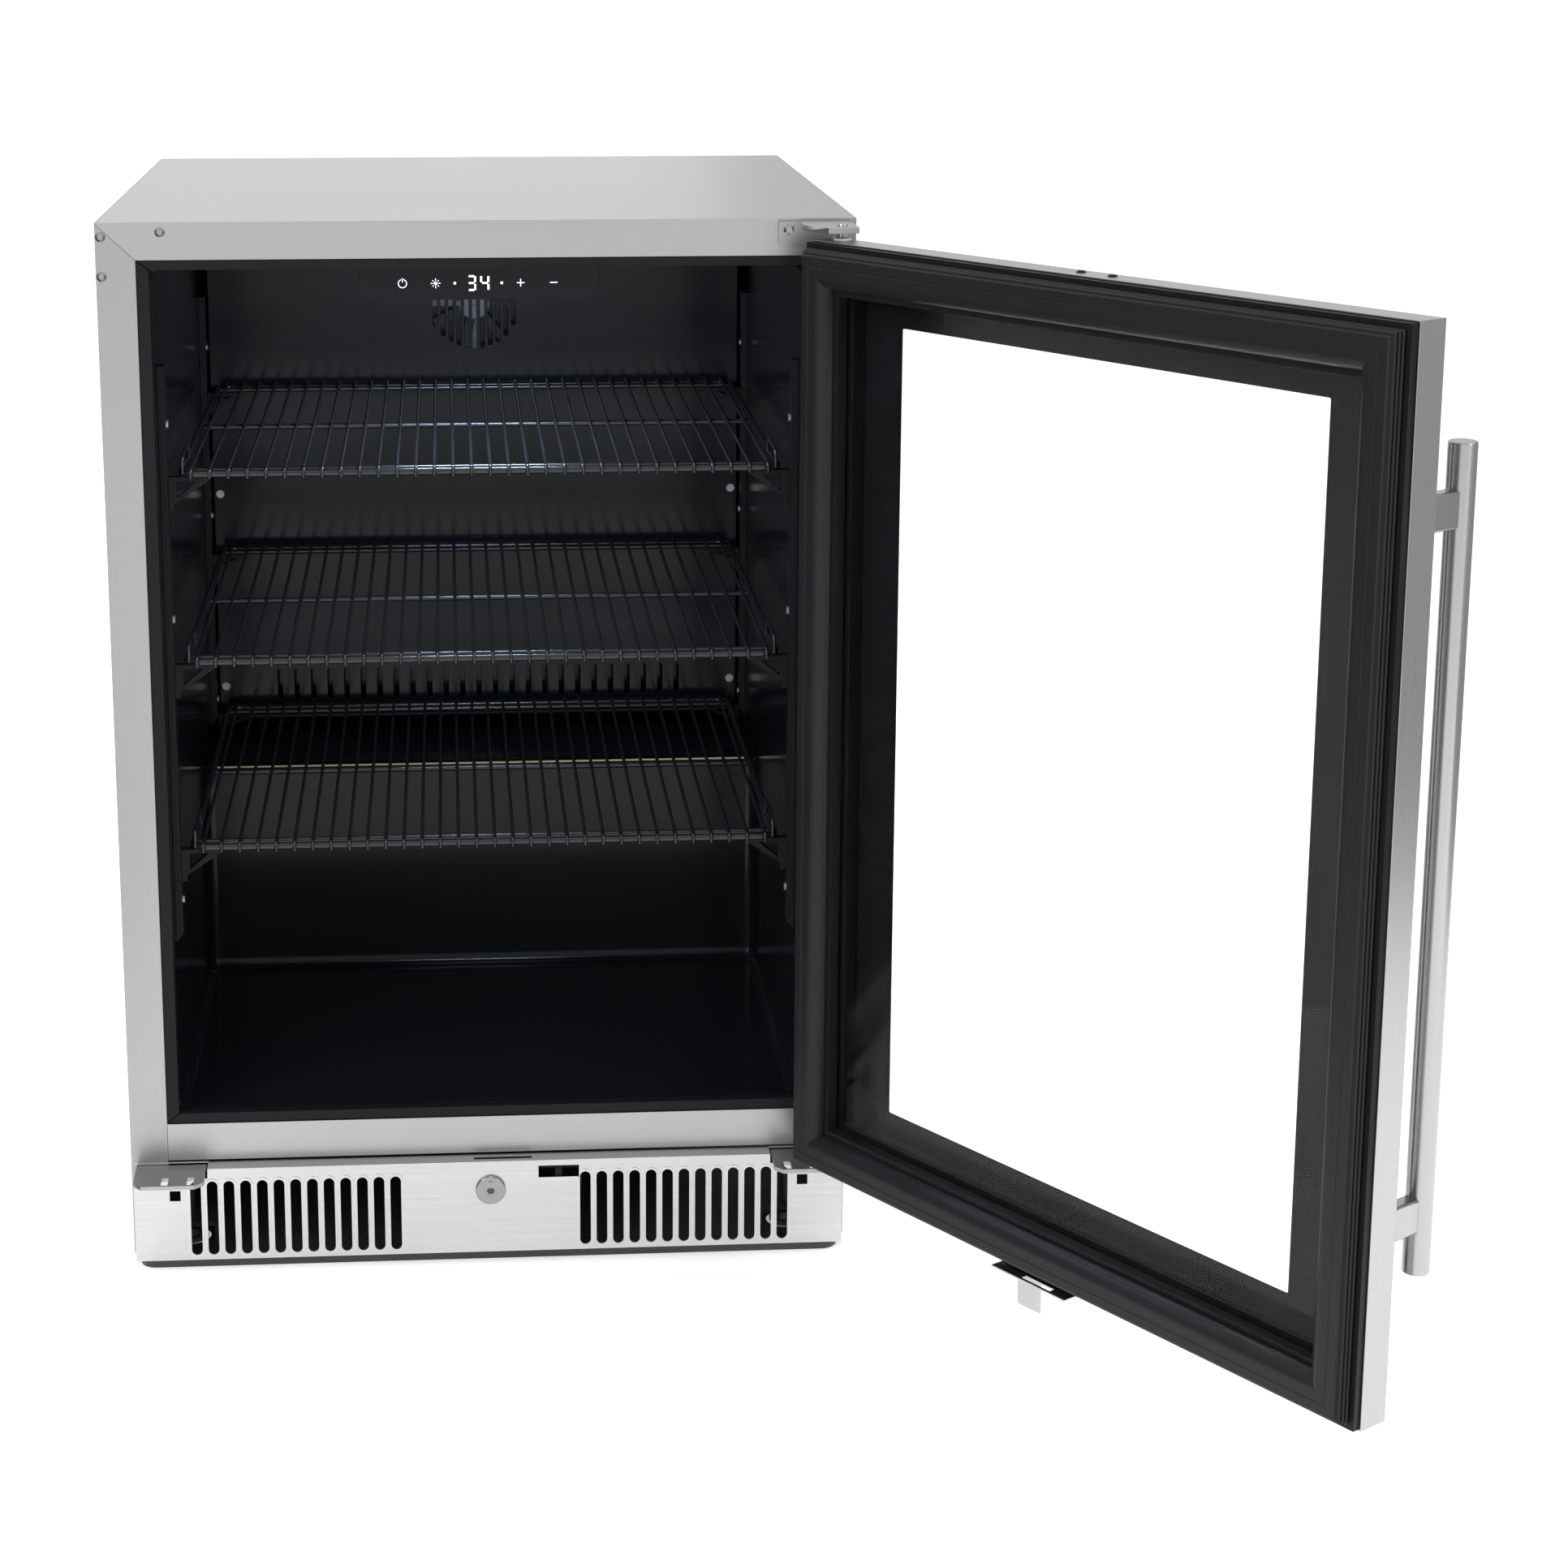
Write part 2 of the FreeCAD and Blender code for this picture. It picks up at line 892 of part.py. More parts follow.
def lamp_ray(number):
    """One short ray of the lamp sign."""
    turn = math.radians(45.0 * number)
    x, z = LAMP_X + 3.0 * math.cos(turn), 3.0 * math.sin(turn)
    if number % 2:
        return disc("lamp_ray_%d" % number, x, z, 0.45)
    flat = number % 4 == 0
    return bar("lamp_ray_%d" % number, x, z, 1.7 if flat else 0.6, 0.6 if flat else 1.7)


icons = [
    power_ring,
    bar("power_stem", POWER_X, 2.6, 0.6, 3.4),
    disc("lamp_core", LAMP_X, 0.0, 1.4),
    *[lamp_ray(number) for number in range(8)],
    fuse("plus_sign", bar("plus_flat", PLUS_X, 0.0, 6.0, 0.7), bar("plus_up", PLUS_X, 0.0, 0.7, 6.0)),
    bar("minus_sign", MINUS_X, 0.0, 6.0, 0.7),
]
node(group("touch_icons", *icons))

DIGIT_WIDE, DIGIT_TALL, STROKE = 7.2, 12.4, 1.4
SEGMENTS = {"3": "abcdg", "4": "bcfg"}


def digit(name, x, lit):
    """The lit strokes of one seven-segment numeral, kept just apart."""
    side = DIGIT_WIDE / 2 - STROKE / 2
    arm = DIGIT_TALL / 2 - STROKE - 0.3
    reach = DIGIT_TALL / 4
    flat = DIGIT_WIDE - 2 * STROKE - 0.3
    places = {
        "a": (0.0, 2 * reach - STROKE / 2, flat, STROKE),
        "g": (0.0, 0.0, flat, STROKE),
        "d": (0.0, -2 * reach + STROKE / 2, flat, STROKE),
        "f": (-side, reach, STROKE, arm),
        "b": (side, reach, STROKE, arm),
        "e": (-side, -reach, STROKE, arm),
        "c": (side, -reach, STROKE, arm),
    }
    return [
        bar("%s_%s" % (name, key), x + places[key][0], places[key][1], places[key][2], places[key][3])
        for key in lit
    ]


node(
    group(
        "display_digits",
        *digit("tens", -5.6, SEGMENTS["3"]),
        *digit("ones", 5.0, SEGMENTS["4"]),
        disc("dot_left", -18.9, 0.0, 1.0),
        disc("dot_right", 18.5, 0.0, 1.0),
    )
)

# ---- Shelf rails, brackets and wire shelves -----------------------------------------------

rail_face = cabin_half - cell("rail_standoff")
rail_top = height - cell("shelf_rail_drop")


def shelf_rail(name, side, setback, bottom):
    """A shallow channel standing on the liner, open towards the wall, cut to a bevel below."""
    start = front + setback
    end = start + cell("rail_width")
    wall = cabin_half * side
    face = rail_face * side
    inside = (rail_face + 1.4) * side
    owner = body(name)
    flat = sketch(owner, "XY_Plane", bottom)
    polygon(
        flat,
        [
            (wall, start),
            (face, start),
            (face, end),
            (wall, end),
            (wall, end - 1.4),
            (inside, end - 1.4),
            (inside, start + 1.4),
            (wall, start + 1.4),
        ],
    )
    pad(owner, flat, rail_top - bottom)
    bevel = sketch(owner, "XZ_Plane", start - 1.0)
    polygon(bevel, [(face, bottom), (face, bottom + 7.0), (wall, bottom)])
    pocket(owner, bevel, cell("rail_width") + 2.0)
    return owner


SIDES = (("left", -1.0), ("right", 1.0))
for label, setback, bottom in (
    ("front", cell("front_rail_setback"), cell("front_rail_bottom")),
    ("rear", cell("rear_rail_setback"), cell("rear_rail_bottom")),
):
    pair = [
        shelf_rail("%s_rail_%s" % (label, hand), side, setback, bottom) for hand, side in SIDES
    ]
    node(group(label + "_shelf_rails", *pair))

rail_lines = [
    (front + cell("front_rail_setback") + cell("rail_width") / 2.0, (rail_top - 47.6, sized(546.0), sized(308.0))),
    (front + cell("rear_rail_setback") + cell("rail_width") / 2.0, (rail_top - 47.6, sized(546.0), sized(366.0))),
]
cabin_screws = []
for row, (y, levels) in enumerate(rail_lines):
    for z in levels:
        for hand, side in SIDES:
            name = "rail_screw_%d_%d_%s" % (row, z.value, hand)
            tip = (cabin_half + 9.0) * side if side < 0 else rail_face - 1.6
            shank_x = tip if side < 0 else rail_face
            length = cabin_half + 9.0 - rail_face
            shank = rod(name + "_shank", "X", (shank_x, y, z), sized(1.8), length)
            head_x = -rail_face if side < 0 else rail_face - 1.6
            head = rod(name + "_head", "X", (head_x, y, z), sized(3.6), sized(1.6))
            cabin_screws.append(fuse(name, shank, head))

bracket_lines = (
    ("front", front + cell("front_rail_setback") + 3.0, cell("front_bracket_drop")),
    ("rear", front + cell("rear_rail_setback") + 3.0, cell("rear_bracket_drop")),
)
shelf_high = height - cell("shelf_top_drop")
shelf_low = cell("shelf_lower_z")
SHELVES = (
    ("top", shelf_high),
    ("middle", shelf_low + (shelf_high - shelf_low) * cell("shelf_middle_share")),
    ("lower", shelf_low),
)
rim = cell("rim_wire")


def shelf_bracket(name, side, y, shelf_z, drop):
    """A clip on the rail with a braced arm under the shelf."""
    top = shelf_z - rim - cell("shelf_gap")
    low = top - drop
    brace = top - drop + 6.0
    face = (rail_face - 0.1) * side
    tip = (rail_face - cell("bracket_reach")) * side
    heel = (rail_face - 4.6) * side
    owner = body(name)
    flat = sketch(owner, "XZ_Plane", y + 8.0)
    polygon(
        flat,
        [
            (face, top),
            (tip, top),
            (tip, top - 3.0),
            (heel, brace),
            (heel, low),
            (face, low),
        ],
    )
    pad(owner, flat, sized(8.0))
    window = sketch(owner, "XZ_Plane", y)
    polygon(
        window,
        [
            ((rail_face - 7.0) * side, top - 3.5),
            ((rail_face - 23.0) * side, top - 3.5),
            ((rail_face - 7.0) * side, brace + 5.0),
        ],
    )
    pocket(owner, window, sized(8.0))
    return owner


brackets = []
for shelf_label, shelf_z in SHELVES:
    for line, y, drop in bracket_lines:
        for hand, side in SIDES:
            name = "bracket_%s_%s_%s" % (shelf_label, line, hand)
            brackets.append(shelf_bracket(name, side, y, shelf_z, drop))
node(group("shelf_brackets", *brackets))


def wire_shelf(name, z):
    """Round deck wires with turned-down front ends, welded onto a rim and a cross wire."""
    reach = (cabin_half - cell("shelf_side_gap") - rim).value
    y_front = sized(front + cell("shelf_setback") + rim).value
    y_rear = sized(front + cell("shelf_setback") + cell("shelf_depth") - rim).value
    level = sized(z).value
    rim_r = rim.value
    wire = cell("deck_wire").value
    mid = (y_front + y_rear) / 2
    loop = [
        V(0, y_rear, level),
        V(reach, y_rear, level),
        V(reach, y_front, level),
        V(-reach, y_front, level),
        V(-reach, y_rear, level),
        V(0, y_rear, level),
    ]
    parts = [tube_shape(loop[:4] + [V(-reach, mid, level)], 12.0, rim_r)]
    parts.append(tube_shape([V(-reach, mid, level)] + loop[4:], 12.0, rim_r))
    for y in (y_front + 15.0, mid, y_rear - 15.0):
        parts.append(Part.makeCylinder(rim_r - 0.5, 2 * reach, V(-reach, y, level), V(1, 0, 0)))
    deck = level + rim_r + wire - 0.6
    count = int(SIZES["wire_count"])
    pitch = 2 * (reach - SIZES["wire_margin"]) / (count - 1)
    for i in range(count):
        x = (i - (count - 1) / 2) * pitch
        path = [
            V(x, y_rear + 1.5, deck),
            V(x, y_front - rim_r - wire + 0.6, deck),
            V(x, y_front - rim_r - wire + 0.6, level - 3.2),
        ]
        parts.append(tube_shape(path, 3.0, wire))
    rise = SIZES["guard_rise"]
    for x in (-reach + 2.0, reach - 2.0):
        guard = [
            V(x, y_front, level),
            V(x, y_front, level + rim_r + rise),
            V(x, y_front + 62.0, level + rim_r + rise),
            V(x, y_front + 62.0, level),
        ]
        parts.append(tube_shape(guard, 5.0, 1.6))
    return feature(name, parts[0].multiFuse(parts[1:]))


for label, z in SHELVES:
    node(wire_shelf("wire_shelf_" + label, z))

# ---- Evaporator, its cover and fan --------------------------------------------------------

cover_front = cabin_back - cell("cover_depth")
cover_low = hump_top + 14.0
cover_high = cabin_top - 14.0
cover_half = cabin_half - cell("cover_side_gap")
skin = cell("cover_sheet")
fan_z = height - cell("fan_drop")

cover = body("evaporator_cover")
flat = sketch(cover, "XZ_Plane", cabin_back - 0.3)
rectangle(flat, (-cover_half, cover_half), (cover_low, cover_high))
pad(cover, flat, cell("cover_depth") - 0.3)
hollow = sketch(cover, "XZ_Plane", cover_front + skin)
rectangle(
    hollow,
    (-cover_half + skin, cover_half - skin),
    (cover_low + skin, cover_high - skin),
)
pocket(cover, hollow, cell("cover_depth"))
fan_grille = sketch(cover, "XZ_Plane", cover_front)
for i in range(-5, 6):
    chord = math.sqrt(SIZES["fan_radius"] ** 2 - (i * 7.4) ** 2)
    slot(fan_grille, sized(i * 7.4), (fan_z - chord, fan_z + chord), sized(2.2))
pocket(cover, fan_grille, sized(4.0))
return_slots = sketch(cover, "XZ_Plane", cover_front)
for i in range(-12, 13):
    slot(return_slots, sized(i * 16.0), (cover_low + 16.0, cover_low + 46.0), sized(2.5))
pocket(cover, return_slots, sized(4.0))
node(cover)

for z in (cover_low + 30.0, sized(563.0), cover_high - 24.0):
    for hand, side in SIDES:
        name = "cover_screw_%d_%s" % (z.value, hand)
        x = (cover_half - 6.0) * side
        shank = rod(
            name + "_shank", "Y", (x, cover_front, z), sized(1.8), cell("cover_depth") + 10.0
        )
        head = rod(name + "_head", "Y", (x, cover_front - 1.6, z), sized(3.8), sized(1.6))
        cabin_screws.append(fuse(name, shank, head))
node(group("cabin_screws", *cabin_screws))

frame_half = cell("fan_radius") + 5.0
fan_y = cover_front + 4.0
frame = box(
    "fan_square",
    (-frame_half, frame_half),
    (fan_y, fan_y + 14.0),
    (fan_z - frame_half, fan_z + frame_half),
)
fan_bore = rod(
    "fan_bore", "Y", (sized(0.0), fan_y - 1.0, fan_z), cell("fan_radius") + 2.0, sized(16.0)
)
fan_ring = cut("fan_ring", frame, fan_bore)
spokes = [
    box(
        "fan_spoke_flat",
        (-frame_half + 2.0, frame_half - 2.0),
        (fan_y + 11.5, fan_y + 14.0),
        (fan_z - 3.0, fan_z + 3.0),
    ),
    box(
        "fan_spoke_up",
        (sized(-3.0), sized(3.0)),
        (fan_y + 11.5, fan_y + 14.0),
        (fan_z - frame_half + 2.0, fan_z + frame_half - 2.0),
    ),
    rod("fan_motor", "Y", (sized(0.0), fan_y + 9.8, fan_z), sized(15.0), sized(4.2)),
    rod("fan_spindle", "Y", (sized(0.0), fan_y + 4.0, fan_z), sized(2.0), sized(6.0)),
]
node(fuse("evaporator_fan_frame", fan_ring, *spokes))


def fan_rotor(name, centre, radius, hub, deep, blades, shaft):
    """A bored hub with pitched blades, turning on a spindle along Y."""
    x, y, z = [sized(c).value for c in centre]
    core = Part.makeCylinder(hub, deep, V(x, y, z), V(0, 1, 0))
    blade = Part.makeBox(radius - hub * 0.7, 1.6, deep * 1.15)
    blade.translate(V(hub * 0.7, -0.8, -deep * 0.575))
    blade.rotate(V(), V(1, 0, 0), 38)
    blade.translate(V(0, deep / 2, 0))
    parts = [core]
    for i in range(blades):
        turned = blade.copy()
        turned.rotate(V(), V(0, 1, 0), 360.0 * i / blades)
        turned.translate(V(x, y, z))
        parts.append(turned)
    slab = Part.makeCylinder(radius, deep, V(x, y, z), V(0, 1, 0))
    body_shape = parts[0].multiFuse(parts[1:]).common(slab)
    bore = Part.makeCylinder(shaft, deep * 3, V(x, y - deep, z), V(0, 1, 0))
    return feature(name, body_shape.cut(bore))


node(
    fan_rotor(
        "evaporator_fan_rotor",
        (0.0, fan_y + 1.5, fan_z),
        SIZES["fan_radius"],
        14.0,
        7.8,
        7,
        2.05,
    )
)

plate_y = cover_front + 9.0
plate_low = sized(cover_low + 60.0).value
plate_back = sized(plate_y).value
PLATE_ROWS, PLATE_REACH = 7, 190.0
plate_pitch = ((fan_z - frame_half - 53.0).value - plate_low) / PLATE_ROWS
turns = []
for i in range(PLATE_ROWS):
    z = plate_low + 16.0 + i * plate_pitch
    ends = (-PLATE_REACH, PLATE_REACH) if i % 2 == 0 else (PLATE_REACH, -PLATE_REACH)
    turns.append(V(ends[0], plate_back + 4.5, z))
    turns.append(V(ends[1], plate_back + 4.5, z))
plate_top = plate_low + 16.0 + PLATE_ROWS * plate_pitch
coil_tube = tube_shape(turns, 16.0, 4.0)
coil_plate = Part.makeBox(
    440.0, 1.5, plate_top - plate_low, V(-220.0, plate_back, plate_low)
)
node(feature("evaporator", coil_plate.fuse(coil_tube)))

# ---- Machine compartment ------------------------------------------------------------------

deck = cell("pan_sheet")
comp_x, comp_y = sized(128.0), machine_front + 100.0
comp_base = deck + 22.0
can = body("compressor_can")
flat = sketch(can, "XZ_Plane", sized(0.0))
polygon(
    flat,
    [
        (sized(0.0), sized(0.0)),
        (sized(62.0), sized(0.0)),
        (sized(72.0), sized(14.0)),
        (sized(74.0), sized(78.0)),
        (sized(77.0), sized(80.0)),
        (sized(77.0), sized(86.0)),
        (sized(74.0), sized(88.0)),
        (sized(70.0), sized(128.0)),
        (sized(52.0), sized(148.0)),
        (sized(0.0), sized(156.0)),
    ],
)
turn = can.newObject("PartDesign::Revolution", "compressor_turn")
turn.Profile = flat
turn.ReferenceAxis = (flat, ["V_Axis"])
turn.Angle = 360.0
bind(can, "Placement.Base.x", comp_x)
bind(can, "Placement.Base.y", comp_y)
bind(can, "Placement.Base.z", comp_base)
saddle = box(
    "compressor_saddle",
    (comp_x - 92.0, comp_x + 92.0),
    (comp_y - 52.0, comp_y + 52.0),
    (comp_base - 3.0, comp_base + 2.0),
)
pegs = [
    rod(
        "compressor_peg_%d" % i,
        "Z",
        (comp_x + dx, comp_y + dy, deck),
        sized(10.0),
        comp_base - deck - 1.0,
    )
    for i, (dx, dy) in enumerate(((-80.0, -40.0), (80.0, -40.0), (-80.0, 40.0), (80.0, 40.0)))
]
relay = box(
    "compressor_relay",
    (comp_x - 108.0, comp_x - 66.0),
    (comp_y - 26.0, comp_y + 26.0),
    (comp_base + 30.0, comp_base + 84.0),
)
node(fuse("compressor", can, saddle, relay, *pegs))

COIL_ROWS, COIL_PITCH = 6, 24.0
coil_back = sized(machine_front - 30.0).value
coil_turns = []
for level in (34.0, 62.0):
    rows = range(COIL_ROWS) if level < 50 else reversed(range(COIL_ROWS))
    for i in rows:
        y = coil_back - i * COIL_PITCH
        flip = i % 2 == (1 if level < 50 else 0)
        ends = (-215.0, 175.0) if flip else (175.0, -215.0)
        coil_turns.append(V(ends[0], y, level))
        coil_turns.append(V(ends[1], y, level))
condenser_tube = tube_shape(coil_turns, 11.0, 3.5)
fins = [
    Part.makeBox(0.8, 140.0, 52.0, V(-196.0 + i * 13.0, coil_back - 130.0, 22.0))
    for i in range(28)
]
node(feature("condenser", condenser_tube.multiFuse(fins)))

blower_x, blower_z = sized(-110.0), sized(96.0)
blower_y = machine_front + 26.0
shroud = box(
    "blower_square",
    (blower_x - 68.0, blower_x + 68.0),
    (blower_y, blower_y + 30.0),
    (deck, blower_z + 68.0),
)
shroud_bore = rod(
    "blower_bore", "Y", (blower_x, blower_y - 1.0, blower_z), sized(61.0), sized(32.0)
)
blower_ring = cut("blower_ring", shroud, shroud_bore)
blower_parts = [
    box(
        "blower_arm_flat",
        (blower_x - 64.0, blower_x + 64.0),
        (blower_y + 26.0, blower_y + 30.0),
        (blower_z - 5.0, blower_z + 5.0),
    ),
    box(
        "blower_arm_up",
        (blower_x - 5.0, blower_x + 5.0),
        (blower_y + 26.0, blower_y + 30.0),
        (blower_z - 64.0, blower_z + 64.0),
    ),
    rod("blower_motor", "Y", (blower_x, blower_y + 24.0, blower_z), sized(26.0), sized(40.0)),
    rod("blower_spindle", "Y", (blower_x, blower_y + 6.0, blower_z), sized(3.0), sized(19.0)),
]
node(fuse("condenser_fan_frame", blower_ring, *blower_parts))
node(
    fan_rotor(
        "condenser_fan_rotor", (-110.0, blower_y + 3.0, 96.0), 58.0, 18.0, 19.0, 5, 3.05
    )
)

line_y = sized(comp_y).value
line_z = sized(comp_base).value
hot_line = tube_shape(
    [
        V(128.0 + 40.0, line_y - 55.0, line_z + 100.0),
        V(128.0 + 40.0, line_y - 88.0, line_z + 100.0),
        V(214.0, line_y - 88.0, line_z + 100.0),
        V(214.0, line_y - 88.0, 62.0),
        V(214.0, coil_back, 62.0),
        V(172.0, coil_back, 62.0),
    ],
    8.0,
    3.2,
)
cool_line = tube_shape(
    [
        V(128.0 - 30.0, line_y + 60.0, line_z + 110.0),
        V(128.0 - 30.0, line_y + 86.0, line_z + 110.0),
        V(128.0 - 30.0, line_y + 86.0, 250.0),
        V(-30.0, line_y + 86.0, 250.0),
        V(-30.0, line_y + 30.0, 250.0),
        V(-30.0, line_y + 30.0, 281.0),
    ],
    8.0,
    4.2,
)
drier_y = line_y + 20.0
drier_parts = [
    Part.makeCylinder(10.0, 78.0, V(-158.0, drier_y, 236.0), V(1, 0, 0)),
    Part.makeCone(2.2, 10.0, 12.0, V(-170.0, drier_y, 236.0), V(1, 0, 0)),
    Part.makeCone(10.0, 2.2, 12.0, V(-80.0, drier_y, 236.0), V(1, 0, 0)),
    Part.makeCylinder(2.2, 32.0, V(-200.0, drier_y, 236.0), V(1, 0, 0)),
    Part.makeCylinder(2.2, 34.0, V(-70.0, drier_y, 236.0), V(1, 0, 0)),
]
filter_drier = drier_parts[0].multiFuse(drier_parts[1:])
lines = [feature("hot_line", hot_line), feature("cool_line", cool_line)]
lines.append(feature("filter_drier", filter_drier))
node(group("refrigerant_lines", *lines))

tray_y = (machine_front + 60.0, rear - 40.0)
tray_outer = box(
    "tray_outer", (sized(-215.0), sized(-40.0)), tray_y, (sized(190.0), sized(214.0))
)
tray_inner = box(
    "tray_inner",
    (sized(-213.0), sized(-42.0)),
    (tray_y[0] + 2.0, tray_y[1] - 2.0),
    (sized(192.0), sized(216.0)),
)
node(cut("drain_tray", tray_outer, tray_inner))

machine_cover = body("machine_cover")
flat = sketch(machine_cover, "XZ_Plane", rear - gap)
rectangle(flat, (-half + 2.0, half - 2.0), (cell("pan_height") + 1.0, machine_top + 5.0))
pad(machine_cover, flat, sheet)
louvres = sketch(machine_cover, "XZ_Plane", rear - gap - sheet)
for x in (-180.0, 180.0):
    slot(louvres, sized(x), (sized(60.0), sized(240.0)), sized(3.5))
louvre_cut = pocket(machine_cover, louvres, sheet)
place_in_line(machine_cover, [louvre_cut], sized(98.0), sized(8.0))
doc.recompute()
inlet_hole = sketch(machine_cover, "XZ_Plane", rear - gap - sheet)
rectangle(inlet_hole, (sized(-29.0), sized(-1.0)), (sized(60.0), sized(82.0)))
inlet_cut = machine_cover.newObject("PartDesign::Pocket", "inlet_cut")
inlet_cut.Profile = inlet_hole
bind(inlet_cut, "Length", sheet)
node(machine_cover)

inlet_block = fuse(
    "inlet_block",
    box(
        "inlet_body",
        (sized(-28.5), sized(-1.5)),
        (rear - 30.0, rear),
        (sized(60.5), sized(81.5)),
    ),
    box(
        "inlet_rim",
        (sized(-37.0), sized(7.0)),
        (rear, rear + 2.0),
        (sized(56.0), sized(86.0)),
    ),
)
inlet_space = box(
    "inlet_space",
    (sized(-26.5), sized(-3.5)),
    (rear - 16.0, rear + 3.0),
    (sized(62.5), sized(79.5)),
)
inlet_pins = [
    box(
        "inlet_pin_%d" % i,
        (sized(-15.0 + dx - 2.0), sized(-15.0 + dx + 2.0)),
        (rear - 17.0, rear - 2.0),
        (sized(71.0 + dz - 1.0), sized(71.0 + dz + 1.0)),
    )
    for i, (dx, dz) in enumerate(((-7.0, -2.5), (7.0, -2.5), (0.0, 3.0)))
]
node(fuse("power_inlet", cut("inlet_shell", inlet_block, inlet_space), *inlet_pins))

# ---- Kick plate with its lock and door switch ---------------------------------------------

kick_half = half - cell("kick_inset")
kick_front = front - cell("kick_reach")
kick_top = cell("kick_top")
kick_sheet = cell("kick_sheet")
kick_low = cell("shell_bottom")
kick = across(
    "kick_plate",
    [
        (kick_front, kick_low),
        (kick_front, kick_top),
        (front - 0.3, kick_top),
        (front - 0.3, kick_top - kick_sheet),
        (kick_front + kick_sheet, kick_top - kick_sheet),
        (kick_front + kick_sheet, kick_low),
    ],
    kick_half,
)
vent_z = (cell("vent_bottom"), cell("vent_top"))
vent_run = cell("vent_pitch") * (cell("vent_count") - 1.0)
vent_outer = kick_half - cell("vent_inset")
vent_starts = (-vent_outer, vent_outer - vent_run)
vent_rim = cell("vent_rim")
rims = sketch(kick, "XZ_Plane", kick_front)
for x in vent_starts:
    slot(
        rims,
        x,
        (vent_z[0] - vent_rim, vent_z[1] + vent_rim),
        cell("vent_radius") + vent_rim,
    )
rim_pad = pad(kick, rims, cell("rim_rise"))
vents = sketch(kick, "XZ_Plane", kick_front - cell("rim_rise"))
for x in vent_starts:
    slot(vents, x, vent_z, cell("vent_radius"))
vent_cut = pocket(kick, vents, cell("rim_rise") + kick_sheet + 0.2)
place_in_line(
    kick,
    [rim_pad, vent_cut],
    vent_run,
    cell("vent_count"),
)
doc.recompute()
notch_half = kick_half - cell("notch_inset")
notches = sketch(kick, "XZ_Plane", kick_front - 2.0)
for side in (-1.0, 1.0):
    polygon(
        notches,
        [
            (notch_half * side, cell("notch_bottom")),
            ((kick_half + 1.0) * side, cell("notch_bottom")),
            ((kick_half + 1.0) * side, kick_top + 1.0),
            (notch_half * side, kick_top + 1.0),
        ],
    )
    hole = cell("square_hole") / 2.0
    x = (kick_half - cell("square_hole_inset")) * side
    rectangle(
        notches,
        (x - hole, x + hole),
        (cell("square_hole_z") - hole, cell("square_hole_z") + hole),
    )
ring(notches, sized(0.0), cell("lock_z"), cell("lock_barrel") + 0.3)
rectangle(notches, (sized(40.0), sized(73.9)), (sized(75.0), sized(85.4)))
pocket(kick, notches, cell("kick_reach") + 1.6)
ledge_slot = sketch(kick, "XY_Plane", kick_top + 1.0)
rectangle(ledge_slot, (sized(-13.7), sized(34.8)), (front - 11.5, front - 6.5))
pocket(kick, ledge_slot, sized(4.0))
node(kick)

lock_z = cell("lock_z")
lock_front = kick_front - 3.2
lock_cap = cone(
    "lock_cap",
    "Y",
    (sized(0.0), lock_front, lock_z),
    cell("lock_cap") - 0.8,
    cell("lock_cap"),
    sized(1.0),
)
lock_rim = rod(
    "lock_rim", "Y", (sized(0.0), lock_front + 1.0, lock_z), cell("lock_cap"), sized(2.0)
)
lock_barrel = rod(
    "lock_barrel", "Y", (sized(0.0), lock_front + 2.0, lock_z), cell("lock_barrel"), sized(7.2)
)
lock_bore = rod(
    "lock_bore",
    "Y",
    (sized(0.0), lock_front - 1.0, lock_z),
    cell("lock_plug") + cell("lock_clearance"),
    sized(40.0),
)
lock_key = box(
    "lock_notch",
    (sized(-1.2), sized(1.2)),
    (lock_front - 1.0, lock_front + 1.2),
    (lock_z + 7.5, lock_z + 14.0),
)
node(
    cut("lock_body", fuse("lock_solid", lock_cap, lock_rim, lock_barrel), lock_bore, lock_key)
)

# The plug's cam points to the right when unlocked, and rises through the ledge when locked.
cam_back = lock_front + 12.5
plug = body("lock_plug")
flat = sketch(plug, "XZ_Plane", cam_back)
ring(flat, sized(0.0), lock_z, cell("lock_plug"))
pad(plug, flat, cam_back - lock_front - 0.4)
hexagon = sketch(plug, "XZ_Plane", lock_front + 0.4)
polygon(
    hexagon,
    [
        (sized(3.5 * math.cos(math.radians(a))), lock_z + 3.5 * math.sin(math.radians(a)))
        for a in range(0, 360, 60)
    ],
)
pocket(plug, hexagon, sized(6.0))
cam = sketch(plug, "XZ_Plane", cam_back)
rectangle(cam, (sized(0.0), cell("cam_reach")), (lock_z - 4.0, lock_z + 4.0))
pad(plug, cam, sized(2.6))
node(plug, "lock_cylinder")

switch_x = (sized(38.0), sized(76.0))
switch_y = (kick_front + kick_sheet + 0.2, front - 0.6)
switch_box = box("switch_box", switch_x, switch_y, (sized(66.0), sized(88.6)))
switch_space = box(
    "switch_space",
    (sized(40.4), sized(73.6)),
    (switch_y[0] - 1.0, switch_y[1] - 2.0),
    (sized(68.2), sized(85.2)),
)
switch_pin = rod(
    "switch_pin",
    "X",
    (sized(39.0), kick_front + 6.0, sized(82.0)),
    sized(1.2),
    sized(36.0),
)
node(fuse("switch_housing", cut("switch_shell", switch_box, switch_space), switch_pin))

